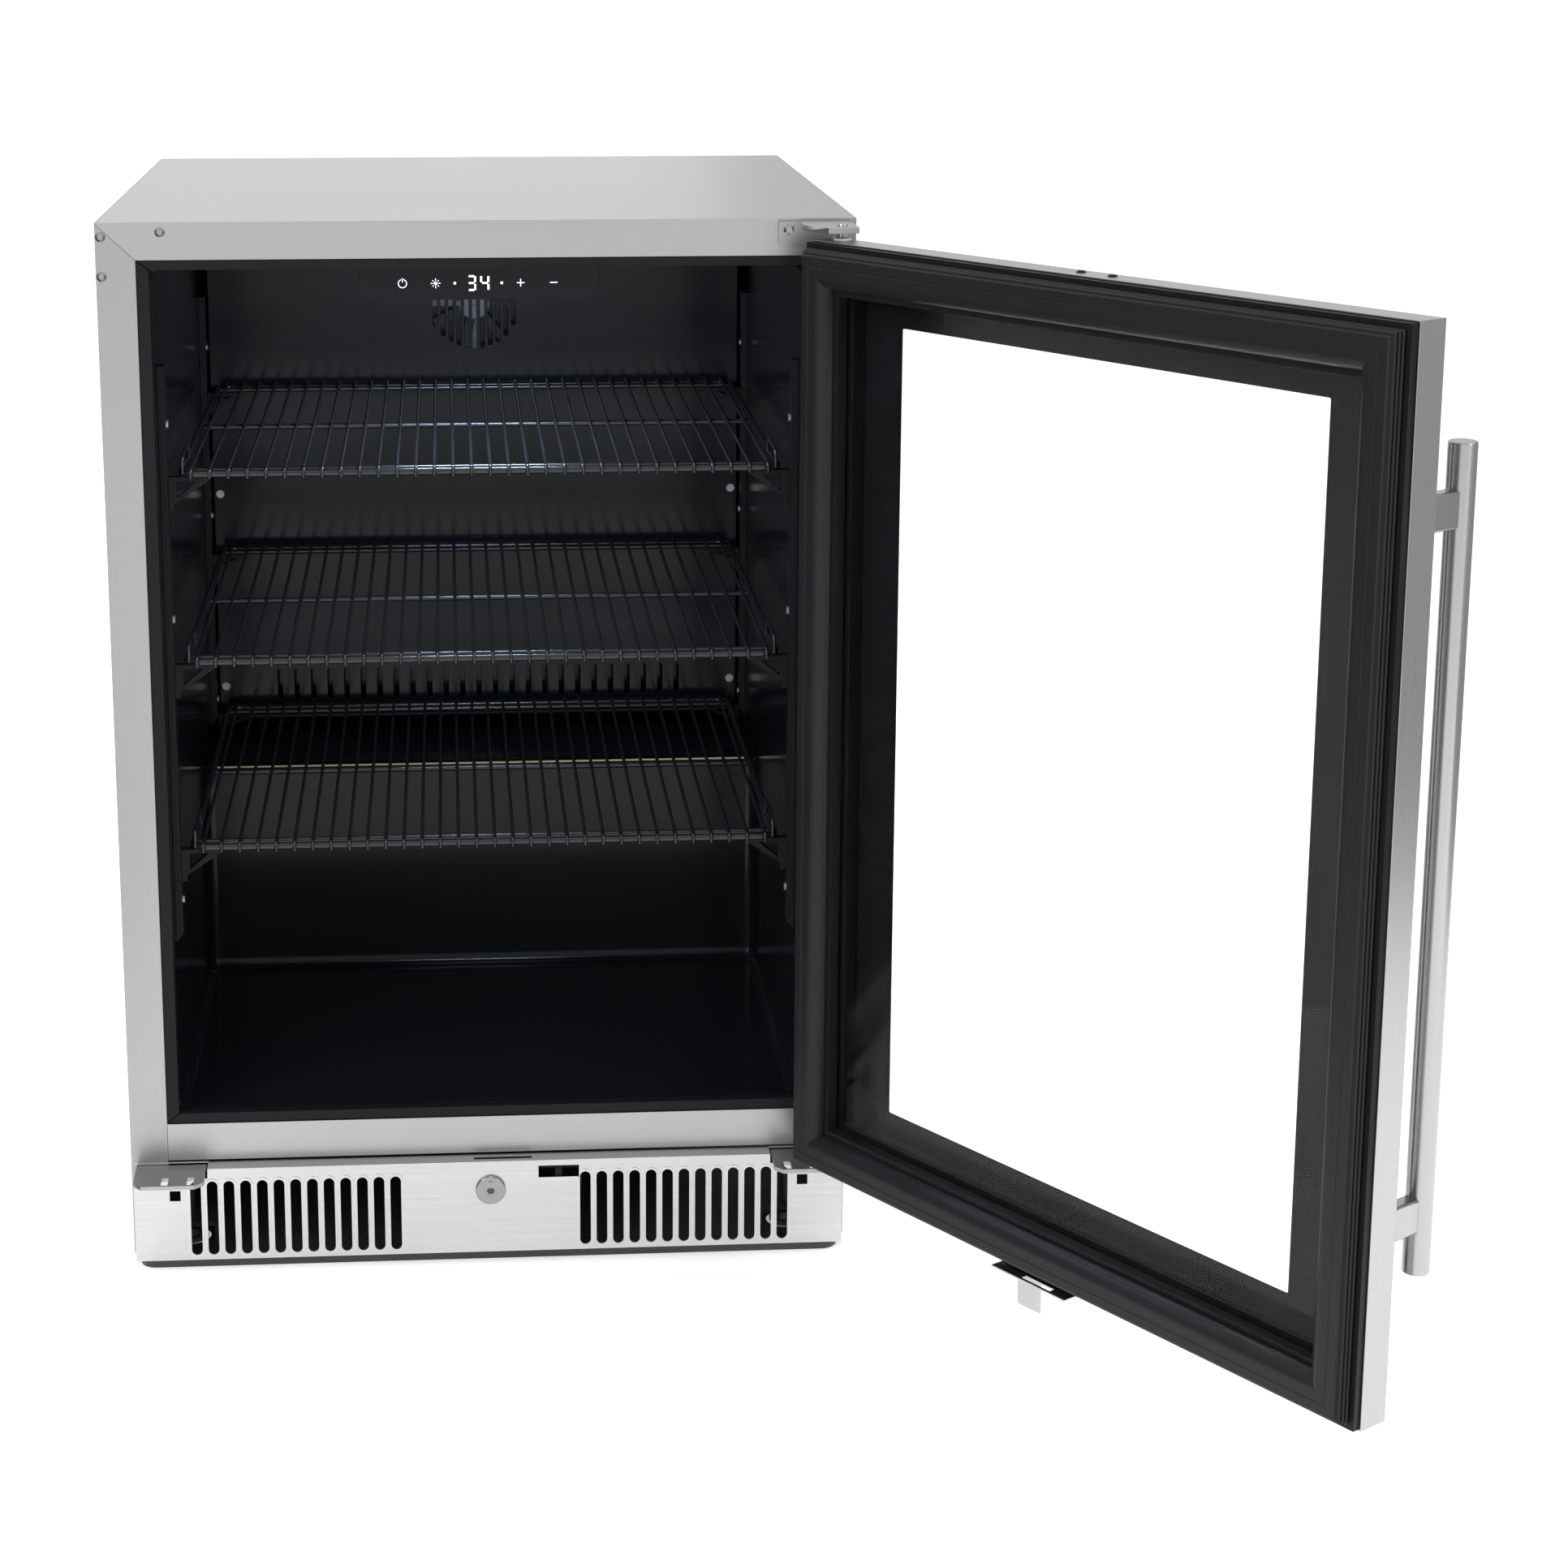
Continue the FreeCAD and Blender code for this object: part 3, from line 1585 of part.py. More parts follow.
lever_arm = box(
    "lever_arm",
    (sized(54.0), sized(60.0)),
    (kick_front + 2.8, kick_front + 5.4),
    (sized(71.8), sized(81.0)),
)
lever_hub = rod(
    "lever_hub", "X", (sized(54.0), kick_front + 6.0, sized(82.0)), sized(2.8), sized(6.0)
)
lever_bore = rod(
    "lever_bore",
    "X",
    (sized(53.0), kick_front + 6.0, sized(82.0)),
    sized(1.26),
    sized(8.0),
)
node(cut("switch_lever", fuse("lever_solid", lever_arm, lever_hub), lever_bore))

# ---- Hinges and spare bracket -------------------------------------------------------------

hinge_x = half - cell("hinge_inset")
hinge_y = front - cell("door_face") + cell("hinge_setback")
door_top = height - cell("door_top_gap")
door_bottom = cell("door_bottom")
pin_radius = cell("pin_radius")

plate_z = (door_top + 6.3, door_top + 10.8)
top_plate = body("hinge_top_plate")
flat = sketch(top_plate, "XY_Plane", plate_z[0])
polygon(
    flat,
    [
        (hinge_x - 29.5, front - 0.2),
        (hinge_x - 29.5, front - 30.0),
        (hinge_x - 12.5, front - 54.0),
        (hinge_x + 11.5, front - 54.0),
        (hinge_x + 11.5, front - 0.2),
    ],
)
pad(top_plate, flat, plate_z[1] - plate_z[0])
top_leg = box(
    "hinge_top_leg",
    (hinge_x - 46.0, hinge_x + 11.5),
    (front - 4.2, front - 0.2),
    (door_top - 7.0, plate_z[1]),
)
top_pin = rod(
    "hinge_top_pin",
    "Z",
    (hinge_x, hinge_y, door_top - 13.0),
    pin_radius,
    plate_z[1] - door_top + 14.5,
)
node(fuse("hinge_top", top_plate, top_leg, top_pin))

bracket_top = door_bottom - 5.0
bracket_low = bracket_top - 3.5


def lower_bracket(name, side):
    """A floor-level hinge plate with two slots, a front lip and a wall leg."""
    reach = sized(45.0)
    x_in = (half - 62.5) * side
    x_out = (half - 4.5) * side
    x_low, x_high = (x_in, x_out) if side > 0 else (x_out, x_in)
    plate = body(name + "_plate")
    flat = sketch(plate, "XY_Plane", bracket_low)
    polygon(
        flat,
        [
            (x_in, front - 0.2),
            (x_in, front - reach + 7.0),
            (x_in + 7.0 * side, front - reach),
            (x_out - 7.0 * side, front - reach),
            (x_out, front - reach + 7.0),
            (x_out, front - 0.2),
        ],
    )
    pad(plate, flat, bracket_top - bracket_low)
    holes = sketch(plate, "XY_Plane", bracket_top)
    for slot_inset in (51.2, 30.3):
        x = (half - slot_inset) * side
        rectangle(
            holes,
            (x - 3.0, x + 3.0),
            (front - 43.0, front - 28.0),
        )
    pocket(plate, holes, bracket_top - bracket_low)
    leg = box(
        name + "_leg",
        (x_low, x_high),
        (front - 3.7, front - 0.2),
        (bracket_low - 0.5, bracket_top),
    )
    return plate, leg


spare_plate, spare_leg = lower_bracket("spare_bracket", -1.0)
node(fuse("spare_bracket", spare_plate, spare_leg))
low_plate, low_leg = lower_bracket("hinge_bottom", 1.0)
low_pin = rod(
    "hinge_bottom_pin",
    "Z",
    (hinge_x, hinge_y, bracket_low),
    pin_radius,
    door_bottom + 13.0 - bracket_low,
)
low_collar = rod(
    "hinge_bottom_collar",
    "Z",
    (hinge_x, hinge_y, bracket_low),
    pin_radius + 3.0,
    bracket_top - bracket_low + 1.6,
)
node(fuse("hinge_bottom", low_plate, low_leg, low_pin, low_collar))


def driven_screw(name, x, y, z, head):
    """A dome head and shank going back into the cabinet front, with a cross recess."""
    shank = rod(name + "_shank", "Y", (x, y, z), sized(2.2), sized(11.0))
    dome = cone(name + "_dome", "Y", (x, y - 1.8, z), sized(head * 0.55), sized(head), sized(1.8))
    slots = [
        box(name + "_cross_a", (x - head * 0.45, x + head * 0.45), (y - 2.0, y - 1.0), (z - 0.5, z + 0.5)),
        box(name + "_cross_b", (x - 0.5, x + 0.5), (y - 2.0, y - 1.0), (z - head * 0.45, z + head * 0.45)),
    ]
    return cut(name, fuse(name + "_solid", shank, dome), *slots)


hinge_screws = [
    driven_screw("hinge_screw_a", hinge_x - 38.0, front - 4.2, door_top + 4.5, 4.3),
    driven_screw("hinge_screw_b", hinge_x + 4.0, front - 4.2, door_top - 1.5, 4.3),
]
node(group("hinge_screws", *hinge_screws))
plug_screws = [
    driven_screw("plug_screw_a", hinge_x * -1.0 + 34.5, front, height - 7.5, 4.0),
    driven_screw("plug_screw_b", -half + 4.4, front, height - 11.0, 4.0),
    driven_screw("plug_screw_c", -half + 4.4, front, height - 42.0, 4.0),
]
node(group("plug_screws", *plug_screws))

# ---- Door, drawn closed -------------------------------------------------------------------

door_half = half - cell("door_side_gap")
door_nodes = []


def ahead(reach):
    """The Y coordinate of a distance in front of the cabinet's face."""
    return front - reach


def door_node(obj, label=None):
    door_nodes.append(obj)
    return node(obj, label)


def door_ring(name, reach, outer, inner):
    """A rectangular frame in the door between two reaches, inset from the door's edge."""
    return ring_frame(
        name,
        (ahead(reach[1]), ahead(reach[0])),
        ((-door_half + outer, door_half - outer), (door_bottom + outer, door_top - outer)),
        ((-door_half + inner, door_half - inner), (door_bottom + inner, door_top - inner)),
    )


face = cell("door_face")
wrap = cell("door_side_start")
door_sheet = cell("door_sheet")
shell_block = door_ring("door_block", (wrap, face), sized(0.0), cell("door_border"))
shell_room = door_ring("door_room", (wrap - 1.0, face - door_sheet), door_sheet, sized(60.0))
bush_rooms = [
    rod(
        "door_bush_hole_%s" % label,
        "Z",
        (hinge_x, hinge_y, z),
        cell("bush_radius") + 0.05,
        sized(4.0),
    )
    for label, z in (("low", door_bottom - 1.0), ("high", door_top - 3.0))
]
plug_x = (sized(-14.0), sized(17.0))
plug_y = ahead(sized(33.0))
plug_rooms = [
    rod("plug_room_%d" % i, "Z", (x, plug_y, door_top - 3.0), sized(2.6), sized(4.0))
    for i, x in enumerate(plug_x)
]
door_steel = cut("door_steel", shell_block, shell_room, *bush_rooms, *plug_rooms)
door_edges = rounded(
    "door_frame",
    door_steel,
    cell("edge_round"),
    lambda e: abs(middle(e).y - ahead(face).value) < 0.01
    and (
        abs(abs(middle(e).x) - door_half.value) < 0.01
        or abs(middle(e).z - door_bottom.value) < 0.01
        or abs(middle(e).z - door_top.value) < 0.01
    ),
)
door_node(door_edges)

inset = cell("inner_inset")
glass_edge = cell("glass_edge")
lip = glass_edge + cell("glass_lip")
inner_start = cell("inner_start")
back_flange = door_ring("inner_flange", (inner_start, wrap), inset, lip)
inner_body = door_ring("inner_body", (wrap, face - door_sheet - 0.2), inset, lip)
glass_room = box(
    "glass_room",
    (-door_half + glass_edge - cell("glass_fit"), door_half - glass_edge + cell("glass_fit")),
    (ahead(face + 1.0), ahead(cell("inner_step"))),
    (
        door_bottom + glass_edge - cell("glass_fit"),
        door_top - glass_edge + cell("glass_fit"),
    ),
)
ridge = door_ring("inner_ridge", (inner_start - 1.0, inner_start + 1.2), sized(31.0), sized(33.5))
seat = door_ring("inner_seat", (inner_start - 1.0, inner_start + 1.6), sized(12.5), sized(25.5))
bush_sockets = [
    rod(
        "bush_socket_%s" % label,
        "Z",
        (hinge_x, hinge_y, z),
        cell("bush_radius") + 0.05,
        cell("bush_length") + 4.0,
    )
    for label, z in (
        ("low", door_bottom - 2.0),
        ("high", door_top - cell("bush_length") - 2.0),
    )
]
plug_sockets = [
    rod("plug_socket_%d" % i, "Z", (x, plug_y, door_top - 16.0), sized(2.6), sized(20.0))
    for i, x in enumerate(plug_x)
]
door_node(
    cut(
        "door_inner_frame",
        fuse("inner_blocks", back_flange, inner_body),
        glass_room,
        ridge,
        seat,
        *bush_sockets,
        *plug_sockets,
    )
)

gasket_outer = cell("gasket_inset")
gasket_inner = gasket_outer + cell("gasket_width")
bellows = door_ring(
    "gasket_bellows",
    (cell("gasket_start"), cell("gasket_bellows")),
    gasket_outer,
    gasket_inner,
)
dart = door_ring(
    "gasket_dart",
    (cell("gasket_bellows"), inner_start + 1.5),
    sized(13.0),
    sized(25.0),
)
crease = door_ring(
    "gasket_crease",
    (sized(0.0), cell("gasket_start") + 1.2),
    gasket_outer + 8.5,
    gasket_outer + 11.5,
)
door_node(cut("door_gasket", fuse("gasket_solid", bellows, dart), crease))

pane_x = (-door_half + glass_edge, door_half - glass_edge)
pane_z = (door_bottom + glass_edge, door_top - glass_edge)
inner_pane_back = cell("inner_step") + 0.1
inner_pane_front = inner_pane_back + cell("pane")
outer_back = cell("outer_pane_back")
door_node(
    box("inner_glass", pane_x, (ahead(inner_pane_front), ahead(inner_pane_back)), pane_z)
)
door_node(
    box(
        "outer_glass",
        pane_x,
        (ahead(outer_back + cell("outer_pane") - 0.1), ahead(outer_back)),
        pane_z,
    )
)
print_back = outer_back - cell("print_sheet")
door_node(
    door_ring(
        "glass_spacer",
        (inner_pane_front + 0.05, print_back - 0.05),
        glass_edge + 1.0,
        glass_edge + 1.0 + cell("spacer_width"),
    )
)
mask = box(
    "mask_sheet",
    (pane_x[0] + 0.5, pane_x[1] - 0.5),
    (ahead(outer_back - 0.02), ahead(print_back)),
    (pane_z[0] + 0.5, pane_z[1] - 0.5),
)
mask_hole = rounded(
    "mask_hole",
    box(
        "mask_opening",
        (-door_half + cell("border_inset"), door_half - cell("border_inset")),
        (ahead(outer_back + 1.0), ahead(print_back - 1.0)),
        (door_bottom + cell("border_low_inset"), door_top - cell("border_high_inset")),
    ),
    cell("border_round"),
    lambda e: runs_along(e, "Y"),
)
door_node(cut("glass_border", mask, mask_hole))

bush_parts = []
for label, z, collar_z in (
    ("low", door_bottom + 0.0, door_bottom - 1.2),
    ("high", door_top - cell("bush_length"), door_top),
):
    sleeve = rod(
        "bush_sleeve_" + label, "Z", (hinge_x, hinge_y, z), cell("bush_radius"), cell("bush_length")
    )
    collar = rod(
        "bush_collar_" + label,
        "Z",
        (hinge_x, hinge_y, collar_z),
        cell("bush_radius") + 1.0,
        sized(1.2),
    )
    bore = rod(
        "bush_bore_" + label,
        "Z",
        (hinge_x, hinge_y, z - 3.0),
        pin_radius + cell("pin_clearance"),
        cell("bush_length") + 6.0,
    )
    bush_parts.append(
        cut("bush_" + label, fuse("bush_solid_" + label, sleeve, collar), bore)
    )
door_node(group("door_bushings", *bush_parts))

plug_parts = []
for i, x in enumerate(plug_x):
    stem = rod("plug_stem_%d" % i, "Z", (x, plug_y, door_top - 14.0), sized(2.5), sized(14.2))
    cap = cone(
        "plug_cap_%d" % i, "Z", (x, plug_y, door_top + 0.05), sized(4.0), sized(2.4), sized(1.4)
    )
    plug_parts.append(fuse("door_plug_%d" % i, stem, cap))
door_node(group("door_plugs", *plug_parts))

handle_x = -door_half + cell("handle_edge")
handle_y = ahead(face + cell("handle_standoff"))
bar_length = door_top - door_bottom - cell("handle_trim") * 2.0
bar_low = door_bottom + cell("handle_trim")
bar_solid = rod(
    "handle_solid",
    "Z",
    (handle_x, handle_y, bar_low),
    cell("handle_radius"),
    bar_length,
)
bar_rounded = rounded("handle_bar", bar_solid, sized(1.6), lambda e: len(e.Vertexes) == 1)
post_cuts = []
posts = []
post_half = cell("post_wide") / 2.0
post_rise = cell("post_tall") / 2.0
for i, z in enumerate((bar_low + cell("post_inset"), bar_low + bar_length - cell("post_inset"))):
    stem = rounded(
        "post_stem_%d" % i,
        box(
            "post_block_%d" % i,
            (handle_x - post_half, handle_x + post_half),
            (handle_y, ahead(face)),
            (z - post_rise, z + post_rise),
        ),
        sized(2.0),
        lambda e: runs_along(e, "Y"),
    )
    clearing = rod(
        "post_clearing_%d" % i,
        "Z",
        (handle_x, handle_y, z - 20.0),
        cell("handle_radius") + 0.02,
        sized(40.0),
    )
    posts.append(cut("handle_post_%d" % i, stem, clearing))
door_node(bar_rounded)
door_node(group("handle_posts", *posts))

# A flange with a slot for the lock's cam, and a tab that hangs in front of the kick plate.
strike_z = (door_bottom - 1.9, door_bottom - 0.3)
strike_flange = box(
    "strike_flange", (sized(-26.0), sized(53.0)), (ahead(sized(34.0)), ahead(sized(4.0))), strike_z
)
strike_slot = box(
    "strike_slot",
    (sized(-8.0), sized(22.0)),
    (front - 11.5, front - 6.5),
    (strike_z[0] - 1.0, strike_z[1] + 1.0),
)
strike_tab = box(
    "strike_tab",
    (sized(13.4), sized(38.4)),
    (ahead(cell("kick_reach") + 3.1), ahead(cell("kick_reach") + 1.5)),
    (door_bottom - 31.0, strike_z[1]),
)
door_node(fuse("strike_plate", cut("strike_leaf", strike_flange, strike_slot), strike_tab))

# ---- Turn the door into its open rest position --------------------------------------------

turned = (
    "create(<<placement>>; create(<<vector>>; {x} - {x} * cos(dims.open_angle * 1 deg)"
    " + {y} * sin(dims.open_angle * 1 deg); {y} - {x} * sin(dims.open_angle * 1 deg)"
    " - {y} * cos(dims.open_angle * 1 deg); 0);"
    " create(<<rotation>>; create(<<vector>>; 0; 0; 1); dims.open_angle))"
).format(x=hinge_x.text, y=hinge_y.text)
doc.recompute()
angle = SIZES["open_angle"]
centre = V(hinge_x.value, hinge_y.value, 0)
spin = FreeCAD.Rotation(V(0, 0, 1), angle)
swing = FreeCAD.Placement(centre - spin.multVec(centre), spin)


def movable(obj):
    """True if the object keeps a placement of its own on top of its pieces."""
    return obj.TypeId in ("Part::Compound", "Part::Cut", "Part::MultiFuse", "Part::Fillet")


for obj in door_nodes:
    if movable(obj):
        obj.setExpression("Placement", turned)
    else:
        obj.setExpression("Placement.Base.x", None)
        obj.setExpression("Placement.Base.y", None)
        obj.setExpression("Placement.Base.z", None)
        obj.Placement = swing.multiply(obj.Placement)
doc.recompute()

# ---- Checks and export --------------------------------------------------------------------

for obj in doc.Objects:
    if {"Invalid", "Error"} & set(obj.State):
        raise RuntimeError("%s failed: %s" % (obj.Name, obj.State))
os.makedirs("parts", exist_ok=True)
for obj in nodes:
    shape = obj.Shape
    if shape.isNull() or not shape.isValid() or not shape.Solids:
        raise RuntimeError("bad shape: " + obj.Label)
    shape.exportStep("parts/%s.step" % obj.Label)
print(len(nodes), "nodes written")
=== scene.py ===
# %% [markdown]
# # A glass-door drinks cooler, finished around its CAD frame
# The cooler is an under-counter cabinet of satin stainless steel, with a black moulded cabin, three
# wire shelves, a pressed kick plate and a double-glazed door that stands open on its two hinges.
# The CAD model already holds every solid in its true place, so this lesson adds what CAD leaves
# out: broken edges, folded rubber, surface grain, printed marks that glow, and studio light.

import json
import math

import bmesh
import bpy
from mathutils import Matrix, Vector


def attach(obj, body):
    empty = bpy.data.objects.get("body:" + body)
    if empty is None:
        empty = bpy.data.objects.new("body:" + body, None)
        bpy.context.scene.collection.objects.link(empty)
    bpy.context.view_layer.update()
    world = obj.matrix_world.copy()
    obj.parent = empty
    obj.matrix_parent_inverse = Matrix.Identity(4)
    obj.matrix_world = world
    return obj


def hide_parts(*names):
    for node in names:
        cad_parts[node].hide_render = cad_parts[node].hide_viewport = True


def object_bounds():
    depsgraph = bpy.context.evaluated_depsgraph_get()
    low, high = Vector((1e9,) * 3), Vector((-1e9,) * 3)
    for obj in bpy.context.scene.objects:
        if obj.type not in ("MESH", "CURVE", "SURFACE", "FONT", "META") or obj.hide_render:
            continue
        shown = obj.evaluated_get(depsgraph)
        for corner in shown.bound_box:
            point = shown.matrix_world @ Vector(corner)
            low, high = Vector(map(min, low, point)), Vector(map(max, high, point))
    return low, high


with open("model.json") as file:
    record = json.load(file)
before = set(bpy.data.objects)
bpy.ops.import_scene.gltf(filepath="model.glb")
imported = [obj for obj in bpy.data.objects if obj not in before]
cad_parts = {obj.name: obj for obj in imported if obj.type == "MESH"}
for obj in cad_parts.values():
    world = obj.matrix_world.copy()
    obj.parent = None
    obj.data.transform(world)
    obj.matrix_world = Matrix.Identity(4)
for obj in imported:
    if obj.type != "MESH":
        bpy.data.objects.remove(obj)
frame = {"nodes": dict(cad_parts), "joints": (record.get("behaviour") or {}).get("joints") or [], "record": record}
cad_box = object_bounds()
nodes = frame["nodes"]
slot_of = {row["node"]: row["material_slot"] for row in frame["record"]["subparts"]}
print("cad nodes:", len(nodes), "box:", [round(v, 3) for v in (*cad_box[0], *cad_box[1])])

# %% [markdown]
# ## Camera
# A short telephoto looks a little down on the open front, so the roof shows as a thin slice and the
# door swings towards the lens. Most of the framing comes from turning the camera, so upright edges
# draw in a little towards the floor. A small lens shift keeps the open door inside the picture.

# %% Camera
EYE = Vector((-0.024, -2.75, 1.1237))
LENS_YAW, LENS_PITCH = math.radians(3.87), math.radians(-12.75)
scene = bpy.context.scene
camera_data = bpy.data.cameras.new("studio_lens")
camera_data.lens, camera_data.sensor_width = 71.5, 36.0
camera_data.shift_x, camera_data.shift_y = 0.08, -0.12
camera_data.clip_start, camera_data.clip_end = 0.05, 200.0
camera = bpy.data.objects.new("studio_camera", camera_data)
camera.location = EYE
camera.rotation_euler = (math.pi / 2 + LENS_PITCH, 0.0, -LENS_YAW)
scene.collection.objects.link(camera)
scene.camera = camera
print("camera at", tuple(EYE), "lens", camera_data.lens)

# %% [markdown]
# ## Studio
# Steel shows its surroundings more than itself, so the room is built first. A pale floor runs far
# out, and the sky is white overhead and a touch greyer near the horizon, which gives every panel a
# soft gradient. Four large softboxes then shape the front, the open door, the roof and the back,
# a strip under the control panel lights the cabin, and cards, seen only in reflections, darken the
# steel and the black plastic that face sideways and brighten the middle of the roof, as flags do
# in a real studio. Three things here are not how a real room behaves: the floor glows a little so
# that it stays white, the sky is plain white where it is looked at, directly or through glass, and
# the roof and back boxes are hidden from reflections so that they don't burn out the roof.


# %% Floor, sky and softboxes
def pale_floor():
    """A wide disc under the feet, at the lowest point of the cooler."""
    mesh = bpy.data.meshes.new("studio_floor")
    shape = bmesh.new()
    bmesh.ops.create_circle(shape, cap_ends=True, radius=60.0, segments=96)
    shape.to_mesh(mesh)
    shape.free()
    floor = bpy.data.objects.new("studio_floor", mesh)
    floor.location.z = cad_box[0].z - 0.0002
    scene.collection.objects.link(floor)
    paint = bpy.data.materials.new("floor_paint")
    paint.use_nodes = True
    surface = paint.node_tree.nodes["Principled BSDF"]
    surface.inputs["Base Color"].default_value = (0.86, 0.86, 0.86, 1.0)
    surface.inputs["Roughness"].default_value = 0.75
    surface.inputs["Specular IOR Level"].default_value = 0.1
    surface.inputs["Emission Color"].default_value = (1.0, 1.0, 1.0, 1.0)
    surface.inputs["Emission Strength"].default_value = 0.36
    mesh.materials.append(paint)
    return floor


def studio_sky(horizon, zenith, strength):
    """A sky that brightens from the horizon to overhead, and is plain white where it is looked at."""
    world = bpy.data.worlds.new("studio_sky")
    world.use_nodes = True
    scene.world = world
    tree = world.node_tree
    place = tree.nodes.new("ShaderNodeTexCoord")
    split = tree.nodes.new("ShaderNodeSeparateXYZ")
    ramp = tree.nodes.new("ShaderNodeValToRGB")
    ramp.color_ramp.elements[0].color = (*horizon, 1.0)
    ramp.color_ramp.elements[1].color = (*zenith, 1.0)
    ramp.color_ramp.elements[1].position = 0.75
    tree.links.new(place.outputs["Generated"], split.inputs[0])
    tree.links.new(split.outputs["Z"], ramp.inputs["Fac"])
    tree.links.new(ramp.outputs["Color"], tree.nodes["Background"].inputs["Color"])
    tree.nodes["Background"].inputs["Strength"].default_value = strength
    plain = tree.nodes.new("ShaderNodeBackground")
    path = tree.nodes.new("ShaderNodeLightPath")
    pick = tree.nodes.new("ShaderNodeMixShader")
    seen = tree.nodes.new("ShaderNodeMath")
    seen.operation, seen.use_clamp = "ADD", True
    tree.links.new(path.outputs["Is Camera Ray"], seen.inputs[0])
    tree.links.new(path.outputs["Is Transmission Ray"], seen.inputs[1])
    tree.links.new(seen.outputs[0], pick.inputs[0])
    tree.links.new(tree.nodes["Background"].outputs[0], pick.inputs[1])
    tree.links.new(plain.outputs[0], pick.inputs[2])
    tree.links.new(pick.outputs[0], tree.nodes["World Output"].inputs["Surface"])
    plain.inputs["Color"].default_value = (1.0, 1.0, 1.0, 1.0)


def softbox(name, place, target, size, power, tint=(1.0, 1.0, 1.0)):
    """A rectangular studio lamp aimed at a point."""
    lamp_data = bpy.data.lights.new(name, "AREA")
    lamp_data.shape = "RECTANGLE"
    lamp_data.size, lamp_data.size_y = size
    lamp_data.energy, lamp_data.color = power, tint
    lamp = bpy.data.objects.new(name, lamp_data)
    lamp.location = place
    aim = Vector(target) - Vector(place)
    lamp.rotation_euler = aim.to_track_quat("-Z", "Y").to_euler()
    scene.collection.objects.link(lamp)
    return lamp


def flag(name, corners, glow):
    """A card that only reflections see, to grade one side of shiny metal."""
    mesh = bpy.data.meshes.new(name)
    mesh.from_pydata(corners, [], [(0, 1, 2, 3)])
    card = bpy.data.objects.new(name, mesh)
    scene.collection.objects.link(card)
    for ray in ("camera", "diffuse", "transmission", "volume_scatter", "shadow"):
        setattr(card, "visible_" + ray, False)
    paint = bpy.data.materials.new(name + "_paint")
    paint.use_nodes = True
    surface = paint.node_tree.nodes["Principled BSDF"]
    surface.inputs["Base Color"].default_value = (0.0, 0.0, 0.0, 1.0)
    surface.inputs["Specular IOR Level"].default_value = 0.0
    surface.inputs["Emission Color"].default_value = (1.0, 1.0, 1.0, 1.0)
    surface.inputs["Emission Strength"].default_value = glow
    mesh.materials.append(paint)
    return card


floor = pale_floor()
studio_sky(horizon=(0.80, 0.81, 0.83), zenith=(1.0, 1.0, 1.0), strength=0.90)
softbox("front_softbox", (-2.3, -2.6, 2.2), (0, -0.3, 0.45), (1.6, 2.0), 55)
softbox("door_softbox", (2.6, -2.2, 1.6), (0.4, -0.5, 0.5), (1.0, 2.0), 30)
roof_box = softbox("roof_softbox", (0.2, 0.6, 2.8), (0, -0.1, 0.6), (2.4, 1.6), 40)
roof_box.visible_glossy = False
back_box = softbox("back_softbox", (-1.0, 3.0, 1.8), (0, 0, 0.45), (2.0, 1.6), 35)
back_box.visible_glossy = False
softbox("cabin_lamp", (0.0, -0.226, 0.800), (0.0, 0.0, 0.45), (0.12, 0.012), 1.6, (0.62, 0.78, 1.0))
flag("right_flag", [(2.0, -2.0, -0.1), (2.0, 0.9, -0.1), (2.0, 0.9, 1.7), (2.0, -2.0, 1.7)], 0.45)
flag("left_flag", [(-1.8, -1.9, -0.1), (-1.8, 0.6, -0.1), (-1.8, 0.6, 1.6), (-1.8, -1.9, 1.6)], 0.22)
flag("low_flag", [(-1.8, -1.9, 0.001), (-0.5, -1.9, 0.001), (-0.5, 0.6, 0.001), (-1.8, 0.6, 0.001)],
     0.10)
flag("bright_flag", [(-0.9, 3.2, 0.3), (0.5, 3.2, 0.3), (0.5, 3.2, 2.6), (-0.9, 3.2, 2.6)], 1.15)
scene.view_settings.view_transform = "Standard"

# %% [markdown]
# ## Shared surface effects
# Every finish on the cooler is one of a few simple things, more or less strongly: grain brushed
# into metal, pebble moulded into plastic, faint smears left by hands, and edges made brighter,
# partly by rubbing wear and partly as a painted highlight.
# Each effect is a node group with named inputs, so a finish only has to say how much of it it has.


# %% Node helpers
def new_effect(name, inputs, outputs):
    """An empty node group with its sockets, ready to be filled."""
    tree = bpy.data.node_groups.new(name, "ShaderNodeTree")
    for label, kind, value in inputs:
        socket = tree.interface.new_socket(label, in_out="INPUT", socket_type="NodeSocket" + kind)
        socket.default_value = value
    for label, kind in outputs:
        tree.interface.new_socket(label, in_out="OUTPUT", socket_type="NodeSocket" + kind)
    return tree, tree.nodes.new("NodeGroupInput"), tree.nodes.new("NodeGroupOutput")


def surface_point(tree):
    """The point on the surface in the piece's own metres."""
    return tree.nodes.new("ShaderNodeTexCoord").outputs["Object"]


def math_node(tree, operation, first, second=0.0, third=None):
    """One sum on two or three sockets or numbers."""
    step = tree.nodes.new("ShaderNodeMath")
    step.operation = operation
    for slot, value in enumerate((first, second) if third is None else (first, second, third)):
        if isinstance(value, bpy.types.NodeSocket):
            tree.links.new(value, step.inputs[slot])
        else:
            step.inputs[slot].default_value = value
    return step.outputs[0]


def stretched(tree, point, stretch):
    """The point scaled differently along each axis."""
    mapping = tree.nodes.new("ShaderNodeMapping")
    tree.links.new(point, mapping.inputs["Vector"])
    if isinstance(stretch, bpy.types.NodeSocket):
        tree.links.new(stretch, mapping.inputs["Scale"])
    else:
        mapping.inputs["Scale"].default_value = stretch
    return mapping.outputs["Vector"]


